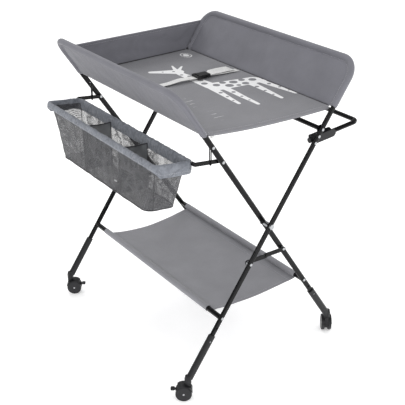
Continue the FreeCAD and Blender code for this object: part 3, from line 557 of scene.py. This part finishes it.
for wing_name, frame_name in (("right_wing", "outer"), ("left_wing", "inner")):
    body = frame_name + "_frame"
    wing = carried(side_wing(wing_name + "_pocket", frame_name), body, wing_name)
    rows = [carried(topstitch(f"{wing_name}_stitch_{label}", seam_line(frame_name, side)), body) for label, side in (("out", -1), ("in", 1))]
    print(wing_name, "points", len(wing.data.vertices))

# %% [markdown]
# ## The tray floor
# One panel of the same cloth is stretched between the two creases. It is tight in the middle and
# slack along its open front edge, which is turned under twice and sewn as a hem. A white pattern
# is printed on it: a plain long-necked spotted animal, an oval and a few measuring ticks. It is
# stored on the mesh as a distance to its outline, in millimetres, and the cloth's shader turns
# that into ink. That keeps its edge sharp however coarse the mesh is.


# %% The printed pattern
def stroke(x, y, a, b, width_a, width_b):
    """How far points are inside a tapered bar from a to b, in millimetres."""
    ax, ay = a
    dx, dy = b[0] - ax, b[1] - ay
    t = np.clip(((x - ax) * dx + (y - ay) * dy) / (dx * dx + dy * dy), 0, 1)
    away = np.hypot(x - ax - t * dx, y - ay - t * dy)
    return width_a + (width_b - width_a) * t - away


def spot(x, y, centre, radius):
    return radius - np.hypot(x - centre[0], y - centre[1])


def animal_print(x, y):
    """Ink distance of the whole pattern: x and y in millimetres from the middle of the floor."""
    body = stroke(x, y, (62, -22), (190, -40), 36, 30)
    neck = stroke(x, y, (48, -10), (40, 150), 24, 13)
    head = stroke(x, y, (44, 172), (-30, 218), 21, 10)
    ear = stroke(x, y, (58, 186), (88, 214), 7, 3)
    ear_two = stroke(x, y, (50, 196), (64, 236), 7, 3)
    tail = stroke(x, y, (212, -52), (250, -96), 6, 3)
    legs = [stroke(x, y, (38, -30), (22, -186), 13, 6), stroke(x, y, (72, -50), (66, -222), 13, 6),
            stroke(x, y, (166, -60), (156, -222), 14, 6),
            stroke(x, y, (204, -60), (218, -214), 14, 6)]
    animal = np.maximum.reduce([body, neck, head, ear, ear_two, tail] + legs)
    for cx, cy, r in ((66, -12, 12), (98, -38, 14), (96, -4, 11), (128, -18, 14), (152, -50, 12),
                      (162, -16, 11), (192, -34, 13), (124, -52, 8), (44, 22, 11), (54, 56, 9),
                      (36, 84, 9), (48, 112, 7), (36, 138, 6), (34, -78, 7), (30, -118, 5),
                      (24, -156, 4), (70, -96, 7), (68, -140, 5), (66, -180, 4), (160, -98, 7),
                      (158, -142, 5), (156, -184, 4), (208, -98, 7), (214, -142, 5),
                      (217, -182, 4), (34, 182, 5), (2, 198, 4)):
        animal = np.minimum(animal, -spot(x, y, (cx, cy), r))
    oval = np.hypot((x - 172) * 0.9, (y - 312) * 0.62)
    badge = np.maximum(9 - oval, 1.6 - np.abs(oval - 15))
    ticks = np.maximum.reduce([stroke(x, y, (-104 - 7 * (k % 2), -60 - 26 * k),
                                      (-84 + 7 * (k % 2), -62 - 26 * k), 0.9, 0.9)
                               for k in range(9)])
    return np.maximum.reduce([animal, badge, ticks])


# %% The floor panel
SLEEVE_ROOM = 11.5 * MM     # crease to the cloth beside a leg's sleeve
EDGE_ROOM = 7.5 * MM        # leg's middle plane to the cloth's open edge
HEM = 17 * MM
LEFT = crease_x("inner") + SLEEVE_ROOM
RIGHT = crease_x("outer") - SLEEVE_ROOM
SEAM_REACH = 11.0 * MM
FAR_REACH = 7 * MM
BINDING_IN = 3.0 * MM


def floor_half_width(share):
    """Half the floor's length along Y, from the left crease (0) to the right one (1)."""
    return (LEG_Y["inner"] + (LEG_Y["outer"] - LEG_Y["inner"]) * share) - EDGE_ROOM


def floor_height(x, y):
    """Height of the cloth: nearly flat, slack near its open edge and towards the left."""
    share = (x - LEFT) / (RIGHT - LEFT)
    from_edge = y + floor_half_width(share)
    held = math.sin(math.pi * min(max(share, 0), 1)) ** 0.8
    droop = (7.5 - 3.0 * share) * MM * held * math.exp(-from_edge / (90 * MM))
    dip = 1.6 * MM * held
    ripples = slack(x * 0.6, y, 0.0, 70 * MM, 1.0 * MM) * held
    near_left = math.exp(-((share - 0.06) / 0.1) ** 2) * math.exp(-from_edge / (120 * MM))
    tugs = near_left * slack(x * 0.5, y * 3, 7.0, 60 * MM, 2.4 * MM)
    return FLOOR_Z - 0.4 * MM - droop - dip + ripples + tugs


def seam_reach(y, half):
    """How far the cloth runs on to the crease; it steps back beside the legs' sleeves."""
    return SEAM_REACH * min(max((half - 2 * MM - abs(y)) / (5 * MM), 0), 1)


def floor_panel():
    xs = np.linspace(LEFT, RIGHT, 130)
    shares = (xs - LEFT) / (RIGHT - LEFT)
    hem = [0, 1.5, 3, 5, 8, 11, 12.5, 14, 17]
    rows = []
    halves = [floor_half_width(s) for s in shares]
    for h in (7.5, 6, 4):
        rows.append([(x, -w + 1.2 * MM, floor_height(x, -w) - h * MM)
                     for x, w in zip(xs, halves)])
    for h in hem:
        thick = 1.0 * MM if h < 12 else (-0.5 * MM if h < 13.5 else 0)
        roll = 2.2 * MM * max(0, 1 - h / 3) ** 2
        rows.append([(x, -w + h * MM, floor_height(x, -w + h * MM) + thick - roll)
                     for x, w in zip(xs, halves)])
    for t in np.linspace(0, 1, 190)[1:]:
        row = []
        for x, w in zip(xs, halves):
            y = -w + HEM + t * (2 * w - HEM + FAR_REACH)
            row.append((x, y, floor_height(x, y)))
        rows.append(row)
    points = np.array(rows)
    middle, half_span = (LEFT + RIGHT) / 2, (RIGHT - LEFT) / 2
    for row in points:
        for k, w in enumerate(halves):
            share = (row[k, 0] - middle) / half_span
            row[k, 0] += share ** 5 * seam_reach(row[k, 1], w)
    return points


floor_points = floor_panel()
floor_rows, floor_columns = floor_points.shape[:2]
tray_floor = mesh_piece("tray_floor_panel", floor_points.reshape(-1, 3),
                        grid_faces(floor_rows, floor_columns), floor_cloth)
flat_points = floor_points.reshape(-1, 3)
ink_values = animal_print((flat_points[:, 0] - pivot.x) / MM, flat_points[:, 1] / MM)
ink = tray_floor.data.attributes.new("ink_mm", "FLOAT", "POINT")
ink.data.foreach_set("value", ink_values.astype(np.float32))
carried(tray_floor, "outer_frame", "tray_floor")
hem_row = [tuple(p + np.array([0, 0, 0.2 * MM])) for p in floor_points[8]]
hem_stitch = carried(topstitch("floor_hem_stitch", hem_row), "outer_frame")
print("floor points", len(flat_points), "inked", int((ink_values > 0).sum()))

# %% [markdown]
# ## The back wing and the creases
# The back wing is a low panel of cloth over foam between the two side wings. Its lower edge is
# sewn to the floor and its right edge to the right wing, each with a dark binding that shows as
# a thin line. The binding is the seam, and its dark line is also painted shade in the crease. A
# narrow piping finishes its top.


# %% The back wing
back_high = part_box("back_wing")[1]
BACK_Y = (LEG_Y["inner"] + LEG_Y["outer"]) / 2
BACK_FOOT = FLOOR_Z - SEAM_TUCK
BACK_SEAM = 9               # mm from the top edge to its row of stitches
BACK_LENGTH = 430
BACK_RISE = (back_high[2] - BACK_FOOT) / MM


def back_point(share, rise, out):
    z = BACK_FOOT + rise * (back_high[2] - BACK_FOOT)
    left = crease_x("inner", z) + 10.5 * MM
    right = crease_x("outer", z) - 10.5 * MM
    x = left + share * (right - left)
    y = BACK_Y + (share - 0.5) * (LEG_Y["outer"] - LEG_Y["inner"])
    return (x, y + out, z)


def back_panel():
    shares = np.linspace(0, 1, 90)
    rises = np.array([0, 0.01, 0.03] + list(np.linspace(0.07, 0.9, 16))
                     + [0.93, 0.955, 0.975, 0.99, 1.0])
    front = np.zeros((len(rises), len(shares), 3))
    back = front.copy()
    for i, rise in enumerate(rises):
        for j, share in enumerate(shares):
            edge = min(rise * BACK_RISE / 3, (1 - rise) * BACK_RISE / 3,
                       share * BACK_LENGTH / 3, (1 - share) * BACK_LENGTH / 3, 1)
            half = 3.0 * MM * math.sqrt(max(1 - (1 - edge) ** 2, 0)) * 0.9 + 0.3 * MM
            groove = 0.8 * MM * math.exp(-(((1 - rise) * BACK_RISE - BACK_SEAM) / 2) ** 2)
            ease = min(edge, 4 * rise, 6 * (1 - rise), 10 * share, 10 * (1 - share), 1)
            bow = 3.0 * MM * math.sin(math.pi * share) * math.sin(math.pi * rise)
            wave = bow + ease * slack(share * 0.43, rise * 0.2, 5.0, 60 * MM, 2.0 * MM)
            front[i, j] = back_point(share, rise, wave - half + groove)
            back[i, j] = back_point(share, rise, wave + half - groove)
    return thin_body("back_wing_panel", front, back, tray_cloth)


back_wing = carried(back_panel(), "outer_frame", "back_wing")
back_row = topstitch("back_wing_stitch",
                     [back_point(s, 1 - BACK_SEAM / BACK_RISE,
                                 -3.1 * MM + 0.9 * MM * math.sin(math.pi * s))
                      for s in np.linspace(0.01, 0.99, 60)])
carried(back_row, "outer_frame")

# %% Bindings along the creases
# Dark binding strips lie along every crease; their dark line is the seam and also painted shade in
# the crease gap.
right_crease = cord_along("crease_binding_and_shade_right",
                          [(RIGHT + SEAM_REACH - BINDING_IN, y, FLOOR_Z - 0.2 * MM)
                           for y in np.linspace(-0.352, 0.352, 90)], 1.2 * MM, binding)
corner_crease = cord_along("crease_binding_and_shade_corner",
                           [back_point(1.004, r, -3.5 * MM) for r in np.linspace(0, 0.99, 24)],
                           1.6 * MM, binding)
back_crease = cord_along("crease_binding_and_shade_back",
                         [tuple(np.array(back_point(s, 0, -3.2 * MM)) + (0, 0, 1.8 * MM))
                          for s in np.linspace(0.01, 0.99, 70)], 1.5 * MM, binding)
left_crease = cord_along("crease_binding_and_shade_left",
                         [(LEFT - SEAM_REACH + BINDING_IN, y, FLOOR_Z - 0.2 * MM)
                          for y in np.linspace(-0.324, 0.324, 90)], 1.2 * MM, binding)
for piece in (right_crease, corner_crease, back_crease, left_crease):
    carried(piece, "outer_frame")

# %% [markdown]
# A small blank care tab is sewn into the front hem near its left end. It is a folded scrap of
# ribbon, so it hangs down from the hem as a tiny loop.

# %% The care tab
tab_x = LEFT + 22 * MM
tab_y = -floor_half_width(0.06) + 2 * MM
tab_rows = [[(tab_x + w * MM, tab_y + out * MM, floor_height(tab_x, tab_y) - 5 * MM - d * MM)
             for w in np.linspace(-5.5, 5.5, 6)]
            for d, out in ((0, 0.4), (3, 0), (6, 0.1), (8.5, 0.6), (9, 1.4), (8.5, 2.2),
                           (5, 2.4), (0, 2.0))]
care_tab = mesh_piece("care_tab", np.array(tab_rows).reshape(-1, 3), grid_faces(8, 6),
                      belt_webbing)
carried(care_tab, "outer_frame")

# %% [markdown]
# ## The belt
# The strap is 25 mm webbing from crease to crease. It lies on the floor, rises into the buckle
# and is doubled back on the right, where its loose end lies beside the layer below. Webbing is
# modelled directly: a flat section with two thin selvedges, along a line that dips and rises.


# %% Straps
belt_low, belt_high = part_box("belt_right")
BELT_Y = (belt_low[1] + belt_high[1]) / 2
BELT_WIDTH = 25 * MM
SOCKET_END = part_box("buckle_socket")[1][0]
TONGUE_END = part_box("buckle_tongue")[0][0]


def strap(name, line, width, skew=0.0, roll=0.0, thick=1.4 * MM):
    """Webbing along a line of (x, height above the floor), skewed along Y and rolled to stand."""
    xs = np.array([p[0] for p in line])
    heights = np.array([p[1] for p in line])
    fine = np.linspace(0, 1, 46)
    knots = np.linspace(0, 1, len(line))
    x_fine = np.interp(fine, knots, xs)
    h_fine = np.interp(fine, knots, heights)
    for _ in range(6):
        h_fine[1:-1] = (h_fine[:-2] + 2 * h_fine[1:-1] + h_fine[2:]) / 4
    half = width / 2
    section = [(-half, 0.35), (-half + 1 * MM, 0.5), (-half + 2.2 * MM, 0.36), (0, 0.42),
               (half - 2.2 * MM, 0.36), (half - 1 * MM, 0.5), (half, 0.35)]
    ring = [(y, k) for y, k in section] + [(y, -k) for y, k in reversed(section)]
    vertices = []
    for t, x, h in zip(fine, x_fine, h_fine):
        y0 = BELT_Y + skew * (t - 0.5)
        twist = slack(x, 0.3, 2.0, 60 * MM, 1.2 * MM)
        lifted = roll * min(8 * t, 1) * min(5 * (1 - t), 1)
        for y, k in ring:
            z = FLOOR_Z + h + k * thick + twist * y / half + thick + (y + half) * math.sin(lifted)
            vertices.append((x, y0 + y * math.cos(lifted), z))
    count = len(ring)
    faces = grid_faces(len(fine), count, around=True)
    faces += [tuple(range(count))[::-1],
              tuple(range((len(fine) - 1) * count, len(fine) * count))]
    return carried(mesh_piece(name, vertices, faces, belt_webbing), "outer_frame")


left_strap = strap("belt_left_strap",
                   [(LEFT + 3 * MM, 0), (LEFT + 60 * MM, 0.5 * MM), (LEFT + 150 * MM, 2 * MM),
                    (TONGUE_END - 60 * MM, 7 * MM), (TONGUE_END - 20 * MM, 6 * MM),
                    (TONGUE_END + 7 * MM, 3.5 * MM)], BELT_WIDTH, skew=-6 * MM)
right_strap = strap("belt_right_strap",
                    [(SOCKET_END - 3 * MM, 3.5 * MM), (SOCKET_END + 14 * MM, 4 * MM),
                     (SOCKET_END + 60 * MM, 2 * MM), (RIGHT - 4 * MM, 0)], BELT_WIDTH,
                    skew=-7 * MM)
loose_end = strap("belt_loose_end",
                  [(SOCKET_END - 2 * MM, 6.5 * MM), (SOCKET_END + 20 * MM, 7 * MM),
                   (SOCKET_END + 70 * MM, 6 * MM), (RIGHT - 20 * MM, 3.5 * MM)], BELT_WIDTH - MM,
                  skew=6 * MM, roll=math.radians(20))
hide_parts("belt_left")
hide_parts("belt_right")
gathers(tray_floor, hem_stitch, back_wing, back_row, right_crease, corner_crease, back_crease,
        left_crease, care_tab, left_strap, right_strap, loose_end)
print("belt at y", round(BELT_Y, 4), "buckle from", round(TONGUE_END, 4), "to",
      round(SOCKET_END, 4))

# %% [markdown]
# ## The shelf
# A sling of the same cloth hangs between the two lower tubes. Each side is folded round its tube
# and sewn back to itself, and the two open edges are hemmed. It hangs lowest in the middle, and
# a little lower along its far edge, where the cloth is slacker.


# %% The sling
def tube_centre(node):
    low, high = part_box(node)
    return (low[0] + high[0]) / 2, (low[2] + high[2]) / 2


left_tube, right_tube = tube_centre("outer_shelf_tube"), tube_centre("inner_shelf_tube")
shelf_low, shelf_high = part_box("shelf_cloth")
SHELF_R = 9.3 * MM
FLAP_POINTS, RING_POINTS, SLING_POINTS = 6, 22, 70


def shelf_section(y_share):
    """The sling's cross-section from one sleeve's sewn flap to the other's."""
    sag = (13 + 8 * y_share) * MM
    (lx, lz), (rx, rz) = left_tube, right_tube
    start, end = (lx + 2 * MM, lz - SHELF_R), (rx - 2 * MM, rz - SHELF_R)
    sling = []
    for t in np.linspace(0, 1, SLING_POINTS):
        x = start[0] + t * (end[0] - start[0])
        z = start[1] + t * (end[1] - start[1]) - sag * 4 * t * (1 - t)
        sling.append((x, z))
    left_ring = [(lx + SHELF_R * math.sin(a), lz - SHELF_R * math.cos(a))
                 for a in np.linspace(2 * math.pi + 0.1, 0.25, RING_POINTS)]
    right_ring = [(rx + SHELF_R * math.sin(a), rz - SHELF_R * math.cos(a))
                  for a in np.linspace(-0.25, -2 * math.pi - 0.1, RING_POINTS)]
    left_flap = [(x, z - 1.3 * MM) for x, z in sling[FLAP_POINTS:0:-1]]
    right_flap = [(x, z - 1.3 * MM) for x, z in sling[-2:-2 - FLAP_POINTS:-1]]
    return left_flap + left_ring + sling + right_ring + right_flap


def shelf_panel():
    ys = list(np.linspace(shelf_low[1] + 1 * MM, shelf_high[1] - 1 * MM, 110))
    rows = []
    for y in ys:
        share = (y - ys[0]) / (ys[-1] - ys[0])
        edge = min(y - ys[0], ys[-1] - y)
        row = []
        for k, (x, z) in enumerate(shelf_section(share)):
            inside = min(max((x - left_tube[0]) / 0.05, 0), max((right_tube[0] - x) / 0.05, 0), 1)
            ripple = slack(x, y * 0.5, 1.0, 80 * MM, 2.0 * MM) * inside
            hem = 0.5 * MM if edge < 12 * MM else 0
            row.append((x, y, z + ripple + hem * inside))
        rows.append(row)
    return np.array(rows)


shelf_points = shelf_panel()
shelf_rows, shelf_columns = shelf_points.shape[:2]
shelf_sling = mesh_piece("shelf_sling", shelf_points.reshape(-1, 3),
                         grid_faces(shelf_rows, shelf_columns), shelf_weave)
carried(shelf_sling, "outer_frame", "shelf_cloth")
sling_start = FLAP_POINTS + RING_POINTS
shelf_stitches = []
for label, line in (
        ("near", shelf_points[2, sling_start:sling_start + SLING_POINTS]),
        ("far", shelf_points[-3, sling_start:sling_start + SLING_POINTS]),
        ("left", shelf_points[:, sling_start + 5]),
        ("right", shelf_points[:, sling_start + SLING_POINTS - 6])):
    row = topstitch("shelf_stitch_" + label, line + np.array([0, 0, 0.3 * MM]))
    shelf_stitches.append(carried(row, "outer_frame"))
for piece in [shelf_sling] + shelf_stitches:
    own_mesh(piece)
print("shelf points", len(shelf_sling.data.vertices))

# %% [markdown]
# ## The basket
# A loop of steel rod holds the mouth open. A gathered band of cloth wraps the rod, and the net
# hangs from the band: four walls that lean in at the ends, and a floor that sags between two
# inner walls. The bag is a lofted shell: rings of points that follow the rim's rounded rectangle
# and shrink on the way down, with the corners growing rounder. The arms tilt the rim, so
# the band is drawn level and turned about the arms' rivets, and the bag hangs plumb below it.


# %% Basket places
arm_pivot = Vector(joints["basket_raise"]["pos_m"])
TILT = math.radians(6)
GAP, WIDTH, HALF_LENGTH, DEPTH = 86 * MM, 116 * MM, 318 * MM, 158 * MM
RIM_X = -(GAP + WIDTH / 2)
NET_IN = 5.5 * MM           # rim's middle line to the net
END_LEAN = 60 * MM          # how far each end of the bag leans in at its bottom
CELLS = 3
FLOOR_HALF_Y = HALF_LENGTH - NET_IN - END_LEAN
RING_COUNT = 240


def hung(x, y, z):
    """From the basket's own level drawing to its tilted place."""
    return (arm_pivot.x + x * math.cos(TILT) + z * math.sin(TILT), y,
            arm_pivot.z - x * math.sin(TILT) + z * math.cos(TILT))


def below_rim(x, y, depth):
    """A point of the bag: it hangs plumb under its place in the rim's plane."""
    px, py, pz = hung(x, y, 0)
    return (px, py, pz - depth)


def rounded_ring(half_x, half_y, corner, count=RING_COUNT):
    """Points around a rounded rectangle, evenly spaced, with the way out at each."""
    sx, sy = half_x - corner, half_y - corner
    runs = [2 * sy, math.pi * corner / 2, 2 * sx, math.pi * corner / 2] * 2
    total = sum(runs)
    ring = []
    for k in range(count):
        d = total * k / count
        for side, run in enumerate(runs):
            if d <= run:
                break
            d -= run
        sign, kind = (1 if side < 4 else -1), side % 4
        if kind == 0:
            (x, y), (nx, ny) = (half_x, -sy + d), (1, 0)
        elif kind == 2:
            (x, y), (nx, ny) = (sx - d, half_y), (0, 1)
        else:
            a = d / corner + (math.pi / 2 if kind == 3 else 0)
            nx, ny = math.cos(a), math.sin(a)
            x, y = (sx if kind == 1 else -sx) + corner * nx, sy + corner * ny
        ring.append((sign * x, sign * y, sign * nx, sign * ny))
    return ring


# %% The gathered band
OUTER_TUCK = 0.62


def gather_wave(k, count, seed):
    """Small upright folds round the band, never quite regular."""
    a = 2 * math.pi * k / count
    circle = Vector((math.cos(a), math.sin(a), seed))
    return (noise.noise(circle * 26) * 1.7 + noise.noise(circle * 9) * 1.5) * MM


def rim_band():
    count = 420
    centre = rounded_ring(WIDTH / 2, HALF_LENGTH, 14 * MM, count)
    section = [(6.2, -30), (6.6, -26), (7.2, -20), (7.4, -12), (7.3, -5), (7.0, 0), (5.4, 4.6),
               (2.8, 6.8), (0, 7.4), (-2.8, 6.8), (-5.4, 4.6), (-7.0, 0), (-7.3, -5),
               (-7.2, -12), (-6.4, -20), (-5.6, -26)]
    rows = []
    for out, up in section:
        row = []
        for k, (x, y, nx, ny) in enumerate(centre):
            fold = gather_wave(k, count, 2.0)
            below = min(max(-up / 12, 0.6), 1.8)
            wide = out * MM + fold * below * (1 if out >= 0 else -0.7)
            drop = 1 - OUTER_TUCK * max(-nx, 0) if up < 0 else 1
            lift = up * MM * drop + (fold * 1.6 if up < -24 else fold * 0.5)
            row.append(hung(RIM_X + x + nx * wide, y + ny * wide, lift))
        rows.append(row)
    return np.array(rows)


band_points = rim_band()
band = mesh_piece("basket_band_cloth", band_points.reshape(-1, 3),
                  grid_faces(band_points.shape[0], band_points.shape[1], around=True, flip=True),
                  band_cloth)
carried(band, "basket", "basket_band")
band_stitch = carried(topstitch("basket_band_stitch", band_points[2]), "basket")


# %% The net bag
def bag_ring(depth, count=RING_COUNT):
    """One ring of the bag at a depth below the rim."""
    t = depth / DEPTH
    half_y = HALF_LENGTH - NET_IN - END_LEAN * t
    half_x = WIDTH / 2 - NET_IN - 1.5 * MM * t
    corner = (12 + 14 * t) * MM
    ring = []
    for x, y, nx, ny in rounded_ring(half_x, half_y, corner, count):
        cells = abs(math.sin(CELLS * math.pi * (y / half_y + 1) / 2))
        billow = 3.2 * MM * math.sin(math.pi * min(t, 1)) * (cells - 0.55)
        crease = slack(x * 2 + y, y * 1.5, depth * 2, 55 * MM, 2.6 * MM) * min(4 * t, 1)
        out = (billow + crease) * (0.8 if abs(nx) > 0.5 else 1)
        ring.append(below_rim(RIM_X + x + nx * out, y + ny * out, depth))
    return ring


def bag_floor_ring(share, count=RING_COUNT):
    """One ring of the bag's floor, shrinking to its middle; the floor sags in each cell."""
    half_y = FLOOR_HALF_Y * share
    half_x = (WIDTH / 2 - 7 * MM) * share
    corner = max(26 * MM * share, 1 * MM)
    ring = []
    for x, y, nx, ny in rounded_ring(half_x, max(half_y, corner + MM), corner, count):
        cells = abs(math.sin(CELLS * math.pi * (y / FLOOR_HALF_Y + 1) / 2))
        sag = 5.5 * MM * cells * (1 - share ** 4) + slack(x, y, 4.0, 50 * MM, 2 * MM)
        ring.append(below_rim(RIM_X + x, y, DEPTH + sag))
    return ring


wall_depths = [6 * MM + t * (DEPTH - 6 * MM) for t in np.linspace(0, 1, 26)]
walls = np.array([bag_ring(d) for d in wall_depths])
net_walls = mesh_piece("basket_net_walls", walls.reshape(-1, 3),
                       grid_faces(len(walls), RING_COUNT, around=True, flip=True), side_mesh)
floor_rings = np.array([bag_ring(DEPTH)] + [bag_floor_ring(s)
                                            for s in (0.9, 0.78, 0.64, 0.5, 0.34, 0.18, 0.05)])
net_floor = mesh_piece("basket_net_floor", floor_rings.reshape(-1, 3),
                       grid_faces(len(floor_rings), RING_COUNT, around=True, flip=True),
                       floor_mesh)
carried(net_walls, "basket", "basket_bag")
carried(net_floor, "basket")
print("net points", len(net_walls.data.vertices) + len(net_floor.data.vertices))


# %% The two inner walls and the bindings
def inner_wall(name, y):
    """A cloth wall across the bag, slack along its top edge."""
    half_x = WIDTH / 2 - 9 * MM
    rows = []
    for t in np.linspace(0, 1, 22):
        row = []
        for s in np.linspace(-1, 1, 26):
            top = -11 * MM - 6 * MM * (1 - s * s)
            z = top + t * (-DEPTH + 2 * MM - top)
            lean = 9 * MM * (1 - s * s) * math.sin(math.pi * (0.25 + 0.75 * t))
            fold = slack(s * 0.08, t * 0.15, y * 9, 45 * MM, 4 * MM) * (1 - s * s)
            row.append(below_rim(RIM_X + s * half_x * (1 - 0.02 * t), y + lean + fold, -z))
        rows.append(row)
    points = np.array(rows)
    return mesh_piece(name, points.reshape(-1, 3), grid_faces(22, 26), wall_mesh), points


wall_pieces, trims = [], []
for label, y in (("near", -HALF_LENGTH / CELLS), ("far", HALF_LENGTH / CELLS)):
    wall, wall_points = inner_wall("basket_wall_" + label, y)
    top_tape = cord_along(f"basket_wall_{label}_tape", wall_points[0], 2.0 * MM, binding)
    wall_pieces.append(carried(wall, "basket"))
    trims.append(top_tape)
    for s, edge in (("in", wall_points[:, -1]), ("out", wall_points[:, 0])):
        trims.append(cord_along(f"basket_wall_{label}_seam_{s}", edge, 1.2 * MM, binding))
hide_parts("basket_dividers")
quarter = [k for k, (x, y, nx, ny) in enumerate(rounded_ring(0.05, 0.3, 0.02))
           if 0.55 < abs(nx) < 0.83 and 0.55 < abs(ny) < 0.83]
corners = [quarter[0], quarter[len(quarter) // 4], quarter[len(quarter) // 2],
           quarter[3 * len(quarter) // 4]]
for number, k in enumerate(corners):
    trims.append(cord_along(f"basket_corner_seam_{number}", walls[:, k], 1.0 * MM, binding))
trims.append(cord_along("basket_floor_seam", walls[-1], 1.7 * MM, binding, closed=True))
for piece in trims:
    carried(piece, "basket")
print("basket pieces", 3 + len(wall_pieces) + len(trims))

# %% [markdown]
# ## Floor and light
# The table stands on a plain pale floor. Light comes from a bright, even room and three
# soft lamps: a main one from the left front, a fill from the right and one from above behind.
# Two small lamps low at the sides draw the thin highlights along the tubes, and the room is
# dimmer in reflections, as it is where dark panels stand beside a bright sweep.

# %% Stage and lights
stage_mesh = bpy.data.meshes.new("studio_floor")
stage_mesh.from_pydata([(-9, -9, 0), (9, -9, 0), (9, 9, 0), (-9, 9, 0)], [], [(0, 1, 2, 3)])
stage = bpy.data.objects.new("studio_floor", stage_mesh)
bpy.context.scene.collection.objects.link(stage)
stage_paint, _, stage_shader = start_material("pale_floor", 0.9)
stage_shader.inputs["Base Color"].default_value = linear("#f7f7f7")
stage_shader.inputs["Specular IOR Level"].default_value = 0.1
stage_shader.inputs["Emission Color"].default_value = (1, 1, 1, 1)
stage_shader.inputs["Emission Strength"].default_value = 0.25
stage_mesh.materials.append(stage_paint)

world = bpy.data.worlds.new("bright_room")
bpy.context.scene.world = world
bpy.context.scene.view_settings.view_transform = "Standard"
world.use_nodes = True
world.node_tree.nodes["Background"].inputs["Color"].default_value = (1, 1, 1, 1)
glossy = add(world.node_tree, "ShaderNodeLightPath").outputs["Is Glossy Ray"]
strength = add(world.node_tree, "ShaderNodeMapRange",
               {"Value": glossy, "To Min": 1.0, "To Max": 0.35}).outputs["Result"]
world.node_tree.links.new(strength, world.node_tree.nodes["Background"].inputs["Strength"])


def soft_lamp(name, place, size, power):
    lamp = bpy.data.lights.new(name, "AREA")
    lamp.size = size
    lamp.energy = power
    holder = bpy.data.objects.new(name, lamp)
    holder.location = place
    holder.rotation_euler = (Vector((0, 0, 0.6)) - Vector(place)).to_track_quat("-Z", "Y") \
        .to_euler()
    bpy.context.scene.collection.objects.link(holder)


soft_lamp("main_lamp", (-2.4, -2.6, 3.0), 1.1, 16)
soft_lamp("fill_lamp", (3.0, -1.6, 2.2), 1.2, 14)
soft_lamp("back_lamp", (0.4, 2.8, 3.0), 1.2, 24)
soft_lamp("edge_lamp_left", (-1.8, -2.7, 1.5), 0.6, 16)
soft_lamp("edge_lamp_right", (2.9, -0.9, 0.3), 0.6, 16)
